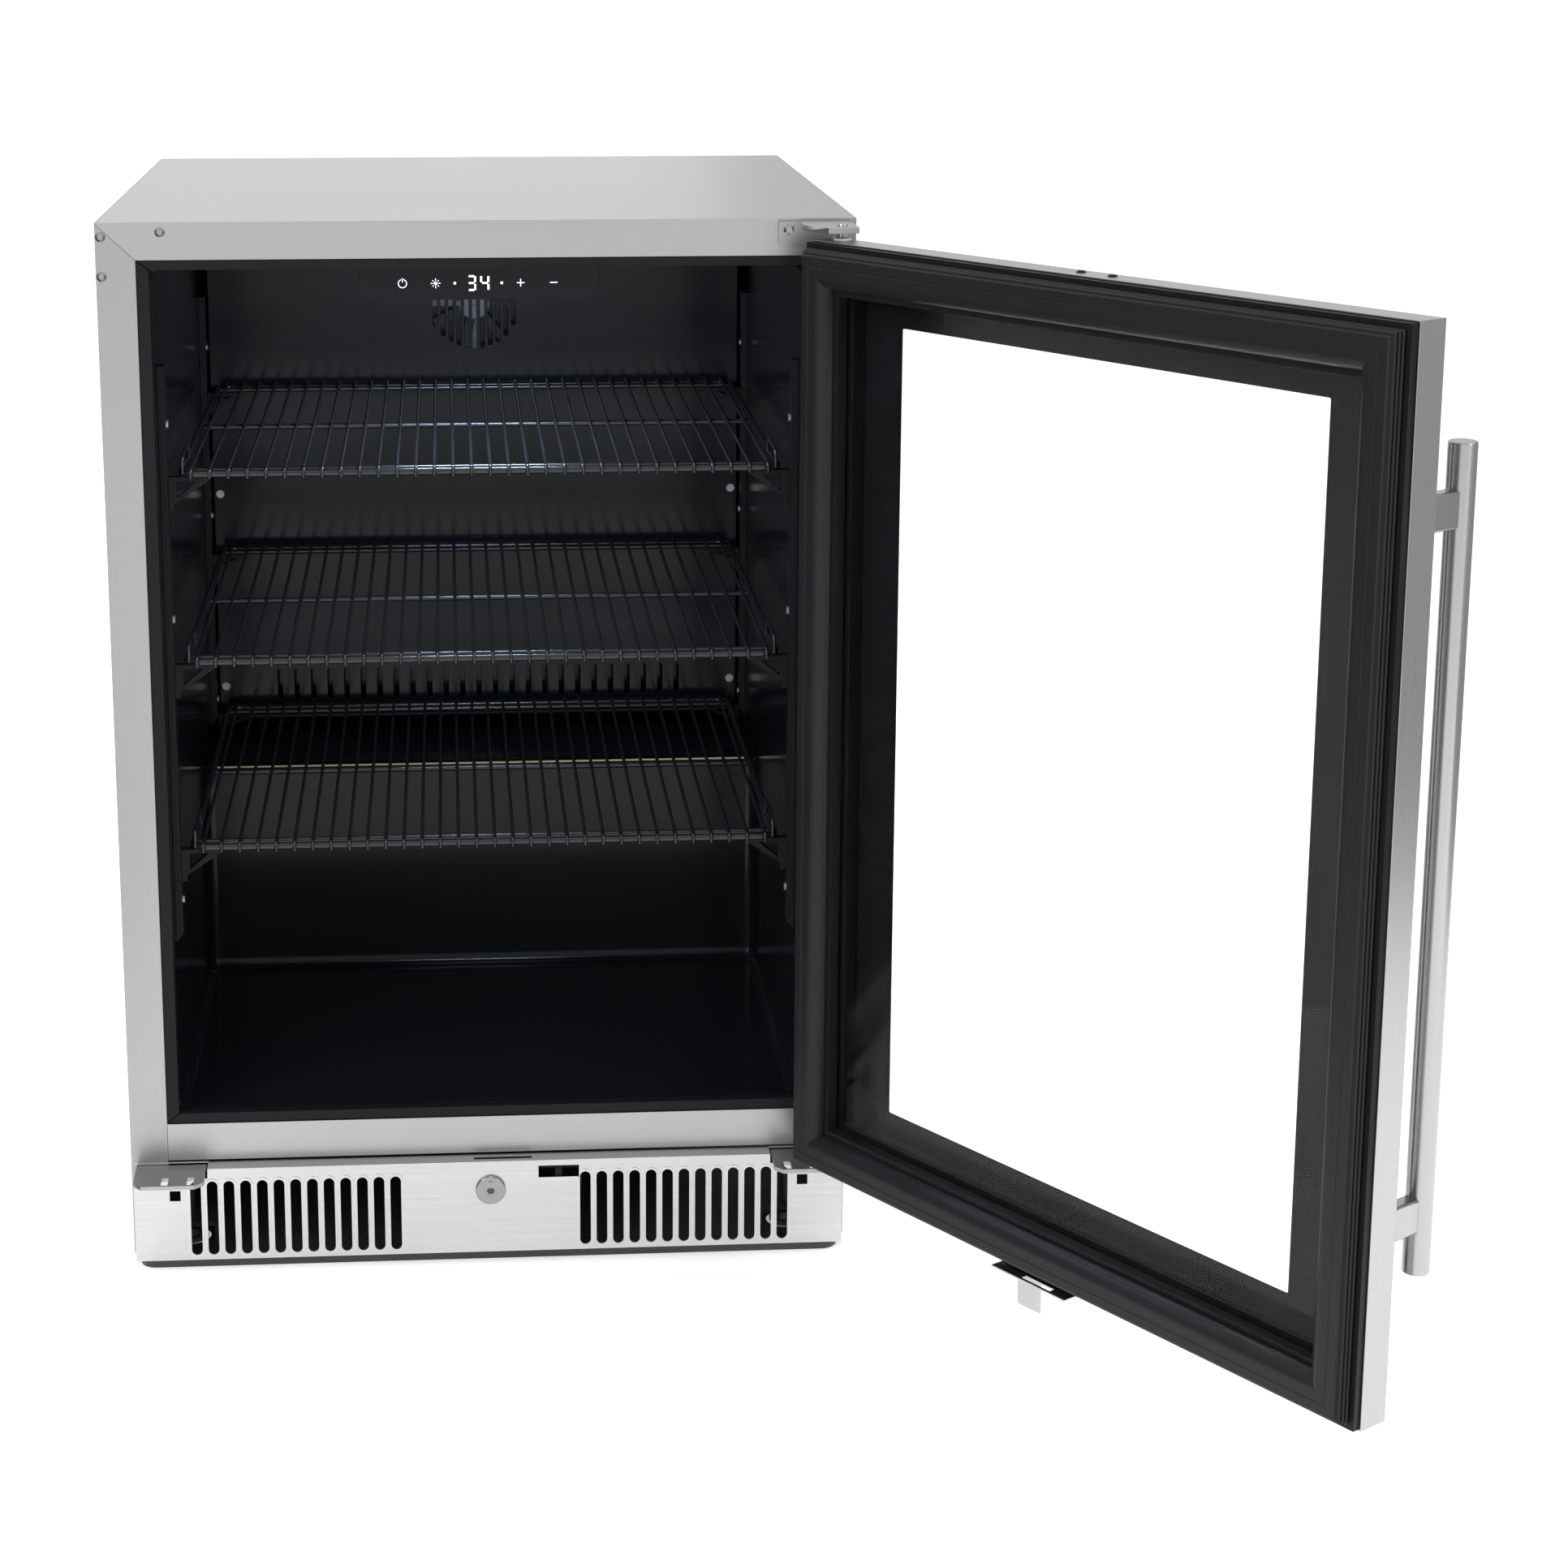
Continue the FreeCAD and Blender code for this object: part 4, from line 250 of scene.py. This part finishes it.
def noise(tree, point, scale, detail=3.0, roughness=0.55):
    """Fractal noise from 0 to 1."""
    texture = tree.nodes.new("ShaderNodeTexNoise")
    tree.links.new(point, texture.inputs["Vector"])
    if isinstance(scale, bpy.types.NodeSocket):
        tree.links.new(scale, texture.inputs["Scale"])
    else:
        texture.inputs["Scale"].default_value = scale
    texture.inputs["Detail"].default_value = detail
    texture.inputs["Roughness"].default_value = roughness
    return texture.outputs["Fac"]


def blend_colors(tree, factor, first, second, kind="MIX"):
    """Two colours mixed, each a socket or plain numbers."""
    mix = tree.nodes.new("ShaderNodeMix")
    mix.data_type, mix.blend_type = "RGBA", kind
    for slot, value in ((0, factor), (6, first), (7, second)):
        if isinstance(value, bpy.types.NodeSocket):
            tree.links.new(value, mix.inputs[slot])
        else:
            mix.inputs[slot].default_value = value
    return mix.outputs[2]


# %% [markdown]
# ### Brushed grain
# A satin belt leaves fine scratches, all in one direction. Noise stretched a hundred times along
# that direction gives them, and two sizes of it, mixed, keep the lines from looking combed.


# %% Brushed grain group
def build_brushed_grain():
    tree, given, made = new_effect(
        "brushed_grain",
        [
            ("Steel Color", "Color", (0.5, 0.5, 0.5, 1.0)),
            ("Stretch", "Vector", (1.0, 1.0, 1.0)),
            ("Contrast", "Float", 0.1),
            ("Sheen Roughness", "Float", 0.3),
            ("Roughness Spread", "Float", 0.08),
        ],
        [("Color", "Color"), ("Roughness", "Float"), ("Height", "Float")],
    )
    point = surface_point(tree)
    lines = stretched(tree, point, given.outputs["Stretch"])
    fine = noise(tree, lines, 1.0, 4.0, 0.65)
    broad = noise(tree, lines, 0.23, 2.0)
    grain = math_node(tree, "ADD", math_node(tree, "MULTIPLY", fine, 0.65),
                      math_node(tree, "MULTIPLY", broad, 0.35))
    centred = math_node(tree, "SUBTRACT", grain, 0.5)
    clouds = math_node(tree, "SUBTRACT", noise(tree, point, 2.6, 2.0), 0.5)
    swing = math_node(tree, "MULTIPLY", centred, given.outputs["Contrast"])
    swing = math_node(tree, "MULTIPLY_ADD", clouds, 0.10, swing)
    bright = math_node(tree, "ADD", 1.0, swing)
    scaled = tree.nodes.new("ShaderNodeVectorMath")
    scaled.operation = "SCALE"
    tree.links.new(given.outputs["Steel Color"], scaled.inputs[0])
    tree.links.new(bright, scaled.inputs["Scale"])
    rough = math_node(tree, "MULTIPLY_ADD", centred, given.outputs["Roughness Spread"],
                      given.outputs["Sheen Roughness"])
    rough = math_node(tree, "MULTIPLY_ADD", clouds, 0.08, rough)
    tree.links.new(scaled.outputs[0], made.inputs["Color"])
    tree.links.new(rough, made.inputs["Roughness"])
    tree.links.new(centred, made.inputs["Height"])
    return tree


brushed_grain = build_brushed_grain()
print("effect:", brushed_grain.name)

# %% [markdown]
# ### Moulded skin
# Plastic parts take the texture of their mould: a fine pebble, and slow waves where the sheet
# shrank. The pebble is a cell pattern a fraction of a millimetre across.


# %% Moulded skin group
def build_moulded_skin():
    tree, given, made = new_effect(
        "moulded_skin",
        [
            ("Plastic Color", "Color", (0.02, 0.02, 0.02, 1.0)),
            ("Pebbles per Metre", "Float", 1400.0),
            ("Gloss Roughness", "Float", 0.4),
            ("Roughness Spread", "Float", 0.1),
            ("Tone Spread", "Float", 0.25),
        ],
        [("Color", "Color"), ("Roughness", "Float"), ("Height", "Float")],
    )
    point = surface_point(tree)
    pebble = noise(tree, point, given.outputs["Pebbles per Metre"], 2.0, 0.6)
    waves = math_node(tree, "SUBTRACT", noise(tree, point, 5.0, 3.0), 0.5)
    bright = math_node(tree, "MULTIPLY_ADD", waves, given.outputs["Tone Spread"], 1.0)
    scaled = tree.nodes.new("ShaderNodeVectorMath")
    scaled.operation = "SCALE"
    tree.links.new(given.outputs["Plastic Color"], scaled.inputs[0])
    tree.links.new(bright, scaled.inputs["Scale"])
    rough = math_node(tree, "MULTIPLY_ADD", waves, given.outputs["Roughness Spread"],
                      given.outputs["Gloss Roughness"])
    tree.links.new(scaled.outputs[0], made.inputs["Color"])
    tree.links.new(rough, made.inputs["Roughness"])
    tree.links.new(pebble, made.inputs["Height"])
    return tree


moulded_skin = build_moulded_skin()
print("effect:", moulded_skin.name)

# %% [markdown]
# ### Rubbed edges and painted edge highlight
# Corners get handled most, so they wear a little brighter than the flats, and the same brighter
# edge colour is a painted highlight too, standing in for the light that sharp rims catch. The Bevel
# node knows how much a surface would turn if its edges were rounded, and that makes the mask.


# %% Edge wear and painted highlight group
def build_edge_wear_and_highlight():
    tree, given, made = new_effect(
        "edge_wear_and_highlight",
        [
            ("Color", "Color", (0.5, 0.5, 0.5, 1.0)),
            ("Edge Color", "Color", (0.8, 0.8, 0.8, 1.0)),
            ("Amount", "Float", 0.4),
        ],
        [("Color", "Color")],
    )
    rounded = tree.nodes.new("ShaderNodeBevel")
    rounded.samples = 4
    rounded.inputs["Radius"].default_value = 0.0012
    flat = tree.nodes.new("ShaderNodeNewGeometry")
    turn = tree.nodes.new("ShaderNodeVectorMath")
    turn.operation = "DOT_PRODUCT"
    tree.links.new(rounded.outputs[0], turn.inputs[0])
    tree.links.new(flat.outputs["Normal"], turn.inputs[1])
    edge = math_node(tree, "MULTIPLY", math_node(tree, "SUBTRACT", 1.0, turn.outputs["Value"]), 5.0)
    patchy = noise(tree, surface_point(tree), 60.0, 3.0)
    mask = math_node(tree, "MULTIPLY", math_node(tree, "MINIMUM", edge, 1.0), patchy)
    mask = math_node(tree, "MULTIPLY", mask, given.outputs["Amount"])
    # The mask lightens the edges' colour: partly handling wear, partly a painted highlight along the rims.
    color = blend_colors(tree, mask, given.outputs["Color"], given.outputs["Edge Color"])
    tree.links.new(color, made.inputs["Color"])
    return tree


edge_wear_and_highlight = build_edge_wear_and_highlight()
print("effect:", edge_wear_and_highlight.name)


# %% [markdown]
# ## Finishes
# A finish is one material. It starts from the Principled shader, places the shared effects it
# needs, and sets on the shader itself every value that is the same all over.


# %% Finish helpers
RELIEF_DEPTH = 0.0002  # metres, the height of grain and pebble
EDGE_WEAR_AND_HIGHLIGHT = 1.35  # how much brighter an edge is than the flat beside it: rubbing wear and painted highlight


def new_finish(name, **plain):
    """A material with its Principled shader, and plain values set on the shader's sockets."""
    finish = bpy.data.materials.new(name)
    finish.use_nodes = True
    shader = finish.node_tree.nodes["Principled BSDF"]
    for label, value in plain.items():
        shader.inputs[label.replace("_", " ")].default_value = value
    return finish, finish.node_tree, shader


def place_effect(tree, effect, **values):
    """A copy of a shared effect in a material, with its own values."""
    box = tree.nodes.new("ShaderNodeGroup")
    box.node_tree = effect
    for label, value in values.items():
        box.inputs[label.replace("_", " ")].default_value = value
    return box


def raise_bump(tree, shader, height, strength, distance):
    """Feeds a height into the shader's normal."""
    bump = tree.nodes.new("ShaderNodeBump")
    bump.inputs["Strength"].default_value = strength
    bump.inputs["Distance"].default_value = distance
    tree.links.new(height, bump.inputs["Height"])
    tree.links.new(bump.outputs["Normal"], shader.inputs["Normal"])


def brushed_steel(name, color, stretch, contrast, roughness, spread=0.10, edge=0.35, bump=0.12):
    """Satin metal, brushed along one axis."""
    finish, tree, shader = new_finish(name, Metallic=1.0, IOR=2.2)
    grain = place_effect(
        tree, brushed_grain, Steel_Color=(*color, 1.0), Contrast=contrast,
        Sheen_Roughness=roughness, Roughness_Spread=spread,
    )
    grain.inputs["Stretch"].default_value = stretch
    # Edges take a brighter copy of the steel colour: wear, and a painted highlight on the rims.
    brighter = tuple(min(1.0, c * EDGE_WEAR_AND_HIGHLIGHT) for c in color)
    edges = place_effect(tree, edge_wear_and_highlight, Edge_Color=(*brighter, 1.0), Amount=edge)
    tree.links.new(grain.outputs["Color"], edges.inputs["Color"])
    tree.links.new(edges.outputs["Color"], shader.inputs["Base Color"])
    tree.links.new(grain.outputs["Roughness"], shader.inputs["Roughness"])
    raise_bump(tree, shader, grain.outputs["Height"], bump, RELIEF_DEPTH)
    return finish


def moulded_plastic(name, color, roughness, pebbles=1400.0, bump=0.10, specular=0.5,
                    spread=0.10):
    """Injection-moulded or vacuum-formed plastic."""
    finish, tree, shader = new_finish(name, IOR=1.46)
    shader.inputs["Specular IOR Level"].default_value = specular
    skin = place_effect(
        tree, moulded_skin, Plastic_Color=(*color, 1.0), Pebbles_per_Metre=pebbles,
        Gloss_Roughness=roughness, Roughness_Spread=spread,
    )
    tree.links.new(skin.outputs["Color"], shader.inputs["Base Color"])
    tree.links.new(skin.outputs["Roughness"], shader.inputs["Roughness"])
    raise_bump(tree, shader, skin.outputs["Height"], bump, RELIEF_DEPTH)
    return finish


# %% [markdown]
# ### Steels
# The wrapper panels are satin steel with the grain running along each panel. The kick plate is a
# separate pressing in brighter steel with a coarser grain, and the door frame is polished a
# little smoother. The door frame's base colour is also set lighter than the wrapper's, as painted
# light that brightens its edges beyond what the lamps give them.
# The stretch is in cycles per metre: small along the grain, large across it.

# %% Steel finishes
ALONG_X, ALONG_Z = (9.0, 1500.0, 1500.0), (1500.0, 1500.0, 9.0)
finishes = {
    "upright_steel": brushed_steel("upright_steel", (0.38, 0.38, 0.38), ALONG_Z, 0.12, 0.34),
    "level_steel": brushed_steel("level_steel", (0.42, 0.42, 0.42), ALONG_X, 0.12, 0.33),
    # The door frame's lighter base colour is painted light on its edges, not a different steel.
    "door_steel": brushed_steel("door_steel", (0.44, 0.44, 0.445), ALONG_Z, 0.14, 0.28),
    # The kick plate's edges get the full brighter colour: a painted highlight on the rims of its vent slots.
    "kick_steel": brushed_steel("kick_steel", (0.60, 0.60, 0.60), ALONG_X, 0.46, 0.34, edge=1.0,
                                bump=0.2),
    "handle_steel": brushed_steel("handle_steel", (0.42, 0.42, 0.42), ALONG_Z, 0.20, 0.24),
    "bracket_steel": brushed_steel("bracket_steel", (0.56, 0.56, 0.56), ALONG_X, 0.24, 0.30,
                                   edge=0.6),
    # This chrome, on the lock and the screws, has a base colour darker than real chrome: painted shade, standing
    # in for the shadow ring round the lock's barrel.
    "lock_chrome": brushed_steel("lock_chrome", (0.34, 0.34, 0.34), (400.0, 400.0, 400.0), 0.06,
                                 0.16, edge=0.5, bump=0.04),
    "fin_metal": brushed_steel("fin_metal", (0.62, 0.63, 0.64), ALONG_Z, 0.12, 0.38),
    "copper_tube": brushed_steel("copper_tube", (0.58, 0.28, 0.17), (300.0, 300.0, 300.0), 0.30,
                                 0.30),
}
print("steels:", sorted(finishes))


# %% [markdown]
# ### Zinc and painted sheet
# The back panel is galvanised: zinc freezes into crystals a few millimetres wide, each with
# its own grey. A cell texture gives one flat tone per crystal.


# %% Zinc and paint
def galvanised(name, color):
    finish, tree, shader = new_finish(name, Metallic=1.0, IOR=2.0)
    cells = tree.nodes.new("ShaderNodeTexVoronoi")
    cells.inputs["Scale"].default_value = 170.0
    tree.links.new(surface_point(tree), cells.inputs["Vector"])
    tone = math_node(tree, "MULTIPLY_ADD", cells.outputs["Color"], 0.35, 0.82)
    dust = noise(tree, surface_point(tree), 14.0, 4.0)
    tinted = blend_colors(tree, 1.0, (*color, 1.0), tone, "MULTIPLY")
    tree.links.new(tinted, shader.inputs["Base Color"])
    tree.links.new(math_node(tree, "MULTIPLY_ADD", dust, 0.25, 0.30), shader.inputs["Roughness"])
    raise_bump(tree, shader, cells.outputs["Distance"], 0.08, 0.0003)
    return finish


def powder_coat(name, color, roughness, peel=420.0):
    """Baked powder paint, which dries with a slight orange peel."""
    return moulded_plastic(name, color, roughness, pebbles=peel, bump=0.22, specular=0.60)


finishes["zinc_sheet"] = galvanised("zinc_sheet", (0.40, 0.41, 0.42))
finishes["black_coat"] = powder_coat("black_coat", (0.030, 0.030, 0.032), 0.42)
finishes["wire_coat"] = powder_coat("wire_coat", (0.010, 0.010, 0.012), 0.24, peel=260.0)
finishes["motor_paint"] = powder_coat("motor_paint", (0.020, 0.020, 0.022), 0.34)
print("painted:", [n for n in finishes if "coat" in n or "paint" in n or "zinc" in n])

# %% [markdown]
# ### Plastics, rubber and foam
# The liner is vacuum-formed glossy black sheet. The door's inner frame is satin, the gasket is
# softer and duller still, and foam only shows through the slots at the back. Several of the blacks
# have a specular level well under the usual 0.5. That is a choice for deep blacks, not a measure.

# %% Plastic finishes
finishes["liner_gloss"] = moulded_plastic("liner_gloss", (0.006, 0.0065, 0.008), 0.16, 90.0, 0.05,
                                          specular=0.22, spread=0.06)
finishes["trim_satin"] = moulded_plastic("trim_satin", (0.009, 0.0095, 0.0105), 0.34, 900.0, 0.10,
                                         specular=0.13)
finishes["panel_gloss"] = moulded_plastic("panel_gloss", (0.003, 0.003, 0.006), 0.07, 60.0, 0.01,
                                          specular=0.25, spread=0.02)
finishes["seal_rubber"] = moulded_plastic("seal_rubber", (0.010, 0.0105, 0.0115), 0.42, 1100.0, 0.12,
                                          specular=0.26)
finishes["fan_plastic"] = moulded_plastic("fan_plastic", (0.050, 0.050, 0.055), 0.40)
finishes["nylon"] = moulded_plastic("nylon", (0.70, 0.69, 0.65), 0.45)
finishes["tray_plastic"] = moulded_plastic("tray_plastic", (0.36, 0.36, 0.36), 0.45)
finishes["print_black"] = moulded_plastic("print_black", (0.006, 0.006, 0.007), 0.12, 300.0, 0.0,
                                          specular=0.12, spread=0.01)
finishes["board_green"] = moulded_plastic("board_green", (0.03, 0.16, 0.07), 0.35)
finishes["foam_skin"] = moulded_plastic("foam_skin", (0.74, 0.64, 0.40), 0.85, 240.0, 0.8)
print("plastics:", len(finishes))


# %% [markdown]
# ### Light that the parts give off
# The touch keys and digits are windows over small lamps, and the lens under the control panel
# lights the cabin. Each keeps a plain white shader with an emission that fades a little from spot
# to spot, because real diffusers are never even.


# %% Lit finishes
def lit(name, color, strength):
    finish, tree, shader = new_finish(name, Roughness=0.4)
    shader.inputs["Base Color"].default_value = (0.8, 0.85, 0.9, 1.0)
    shader.inputs["Emission Strength"].default_value = strength
    glow = noise(tree, surface_point(tree), 220.0, 2.0)
    tint = blend_colors(tree, glow, (*color, 1.0), (1.0, 1.0, 1.0, 1.0))
    tree.links.new(tint, shader.inputs["Emission Color"])
    rough = math_node(tree, "MULTIPLY_ADD", glow, 0.2, 0.3)
    tree.links.new(rough, shader.inputs["Roughness"])
    return finish


finishes["lit_marks"] = lit("lit_marks", (0.80, 0.90, 1.0), 1.1)
finishes["lit_digits"] = lit("lit_digits", (0.85, 0.93, 1.0), 2.2)
finishes["lamp_lens"] = lit("lamp_lens", (0.62, 0.78, 1.0), 6.0)
print("lit finishes ready")


# %% [markdown]
# ### Door glass
# Float glass is clear but never quite invisible: it has a faint green body, and wiping leaves
# traces that only show as changes in gloss. Shadow rays pass straight through a second, clear
# shader, so the panes don't darken what they cover. The index is set to 1.15, where real glass has
# about 1.5, because four faces at full strength lay a grey haze over the black border. The panes
# therefore reflect much less than real ones, and true reflections need the real index.


# %% Glass finish
def float_glass(name):
    finish, tree, shader = new_finish(name, Metallic=0.0, IOR=1.15)
    shader.inputs["Transmission Weight"].default_value = 1.0
    shader.inputs["Base Color"].default_value = (0.965, 0.985, 0.978, 1.0)
    wipes = noise(tree, stretched(tree, surface_point(tree), (7.0, 7.0, 2.5)), 1.0, 5.0, 0.6)
    smear = math_node(tree, "MULTIPLY", math_node(tree, "POWER", wipes, 3.0), 0.02)
    tree.links.new(smear, shader.inputs["Roughness"])
    clear = tree.nodes.new("ShaderNodeBsdfTransparent")
    clear.inputs["Color"].default_value = (0.93, 0.95, 0.94, 1.0)
    path = tree.nodes.new("ShaderNodeLightPath")
    pick = tree.nodes.new("ShaderNodeMixShader")
    tree.links.new(path.outputs["Is Shadow Ray"], pick.inputs[0])
    tree.links.new(shader.outputs[0], pick.inputs[1])
    tree.links.new(clear.outputs[0], pick.inputs[2])
    tree.links.new(pick.outputs[0], tree.nodes["Material Output"].inputs["Surface"])
    return finish


finishes["float_glass"] = float_glass("float_glass")
print("glass ready")

# %% [markdown]
# ## Dressing the CAD nodes
# Most CAD solids already have the right shape and only need their finish and their edges broken.
# A Weld closes the seams between the exported faces, and a small Bevel rounds sharp edges as a
# press or a mould would, so they catch a thin highlight.

# %% Finish by slot, with exceptions by node
FINISH_OF_SLOT = {
    "steel": "upright_steel", "bright_steel": "bracket_steel", "cabinet_coat": "black_coat",
    "zinc": "zinc_sheet", "liner_plastic": "liner_gloss", "foam": "foam_skin",
    "black_plastic": "trim_satin", "panel_gloss": "panel_gloss", "print_white": "lit_marks",
    "light_lens": "lamp_lens", "board_green": "board_green", "black_wire": "wire_coat",
    "alu": "fin_metal", "copper": "copper_tube", "motor_black": "motor_paint",
    "pane": "float_glass", "print_black": "print_black", "seal": "seal_rubber",
    "fan_plastic": "fan_plastic", "nylon": "nylon", "tray_plastic": "tray_plastic",
}
FINISH_OF_NODE = {
    "top_panel": "level_steel", "lower_front_rail": "level_steel", "door_frame": "door_steel",
    "kick_plate": "kick_steel", "handle_bar": "handle_steel", "handle_posts": "handle_steel",
    "display_digits": "lit_digits", "lock_body": "lock_chrome", "lock_cylinder": "lock_chrome",
    "hinge_screws": "lock_chrome", "plug_screws": "lock_chrome", "control_housing": "black_coat",
}
EDGE_WIDTH = {
    "door_frame": 0.0003, "kick_plate": 0.0007, "handle_bar": 0.0008, "handle_posts": 0.0005,
    "hinge_top": 0.0006, "hinge_bottom": 0.0005, "spare_bracket": 0.0005,
    "control_housing": 0.0006, "control_fascia": 0.0006, "breaker_strips": 0.0008,
    "door_inner_frame": 0.0009, "top_panel": 0.00025, "left_side_panel": 0.00025,
    "right_side_panel": 0.00025, "lower_front_rail": 0.00025, "evaporator_cover": 0.0005,
    "machine_cover": 0.00025, "base_pan": 0.0005, "switch_housing": 0.0004,
    "switch_lever": 0.0004, "lock_body": 0.0003, "power_inlet": 0.0004, "compressor": 0.0008,
    "front_shelf_rails": 0.0004, "rear_shelf_rails": 0.0004, "shelf_brackets": 0.0004,
    "strike_plate": 0.0003, "inner_liner": 0.0010, "glass_spacer": 0.0003,
    "drain_tray": 0.0006, "condenser_fan_frame": 0.0006, "evaporator_fan_frame": 0.0004,
    "control_board": 0.0002, "cabin_light": 0.0005, "door_plugs": 0.0002,
}


SEAM_GAP = 0.00001  # metres, far under the smallest real gap
SHARP_ANGLE = math.radians(38)


def break_edges(piece, width):
    """Closes the seams of an exported solid and rounds its sharp edges."""
    weld = piece.modifiers.new("close_seams", "WELD")
    weld.merge_threshold = SEAM_GAP
    soften = piece.modifiers.new("broken_edges", "BEVEL")
    soften.width, soften.segments = width, 2
    soften.limit_method, soften.angle_limit = "ANGLE", SHARP_ANGLE
    soften.use_clamp_overlap = True
    soften.harden_normals = True


for name, piece in nodes.items():
    chosen = FINISH_OF_NODE.get(name, FINISH_OF_SLOT[slot_of[name]])
    piece.data.materials.clear()
    piece.data.materials.append(finishes[chosen])
    if name in EDGE_WIDTH:
        break_edges(piece, EDGE_WIDTH[name])
print("nodes dressed:", len(nodes), "with broken edges:", len(EDGE_WIDTH))

# %% [markdown]
# ## Door gasket
# The gasket is one extruded rubber section, cut at 45 degrees and welded at the corners. Its outer
# side is folded like a concertina so that the magnet in its front can reach the cabinet, and its
# inner side rolls over in a soft shoulder. The section is drawn once, as pairs of inset from the
# door's edge and distance ahead of the cabinet, and swept round the door with four sharp mitres.

# %% Door position and the mitred sweep
MM = 0.001
hinge = next(joint for joint in frame["joints"] if joint["name"] == "door_hinge")
HINGE_X, HINGE_Y = hinge["pos_m"][:2]
DOOR_SWING = math.radians(-hinge["range_deg"][0])
DOOR_HALF, DOOR_LOW, DOOR_HIGH, CABINET_FRONT = 0.297, 0.093, 0.859, -0.300


def on_open_door(x, ahead, z):
    """A point drawn on the closed door, carried to where the door stands open."""
    dx, dy = x - HINGE_X, CABINET_FRONT - ahead - HINGE_Y
    cos, sin = math.cos(DOOR_SWING), math.sin(DOOR_SWING)
    return (HINGE_X + dx * cos - dy * sin, HINGE_Y + dx * sin + dy * cos, z)


def mitred_ring(name, section, body, finish):
    """A closed section in millimetres, swept round the door and mitred at its corners."""
    corners = ((-1, DOOR_LOW, 1), (1, DOOR_LOW, 1), (1, DOOR_HIGH, -1), (-1, DOOR_HIGH, -1))
    points, faces, count = [], [], len(section)
    for side, level, rise in corners:
        for inset, ahead in section:
            inset, ahead = inset * MM, ahead * MM
            points.append(on_open_door(side * (DOOR_HALF - inset), ahead, level + rise * inset))
    for corner in range(4):
        here, there = corner * count, (corner + 1) % 4 * count
        for i in range(count):
            j = (i + 1) % count
            faces.append((here + i, here + j, there + j, there + i))
    mesh = bpy.data.meshes.new(name)
    mesh.from_pydata(points, [], faces)
    shape = bmesh.new()
    shape.from_mesh(mesh)
    bmesh.ops.recalc_face_normals(shape, faces=shape.faces)
    shape.to_mesh(mesh)
    shape.free()
    piece = bpy.data.objects.new(name, mesh)
    scene.collection.objects.link(piece)
    mesh.materials.append(finishes[finish])
    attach(piece, body)
    return piece


# %% The gasket's section
def bead(inset, ahead, reach, half, steps=6):
    """Half a round rib, pointing out from the door's middle."""
    return [
        (inset - reach * math.cos(a), ahead + half * math.sin(a))
        for a in (math.pi / 2 - math.pi * i / steps for i in range(steps + 1))
    ]


concertina = [
    point
    for inset, ahead in ((7.6, 11.0), (8.4, 8.0), (9.2, 5.0))
    for point in bead(inset, ahead, 2.4, 1.25)
]
magnet_face = [(10.2, 3.2), (9.4, 2.2), (9.7, 1.4), (10.6, 1.0), (17.0, 1.0), (17.4, 1.35),
               (18.2, 1.35), (18.6, 1.0), (25.0, 1.0)]
shoulder = [(25.0 + 10.5 * math.sin(a), 12.9 - 11.9 * math.cos(a))
            for a in (math.radians(9 * i) for i in range(1, 11))]
dart = [(24.8, 12.95), (24.8, 14.2), (13.2, 14.2), (13.2, 12.95)]
gasket = mitred_ring("gasket_profile", concertina + magnet_face + shoulder + dart, "door",
                     "seal_rubber")
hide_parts("door_gasket")
soften = gasket.modifiers.new("soft_folds", "BEVEL")
soften.width, soften.segments = 0.0003, 2
soften.limit_method, soften.angle_limit = "ANGLE", math.radians(50)
print("gasket points:", len(gasket.data.vertices))
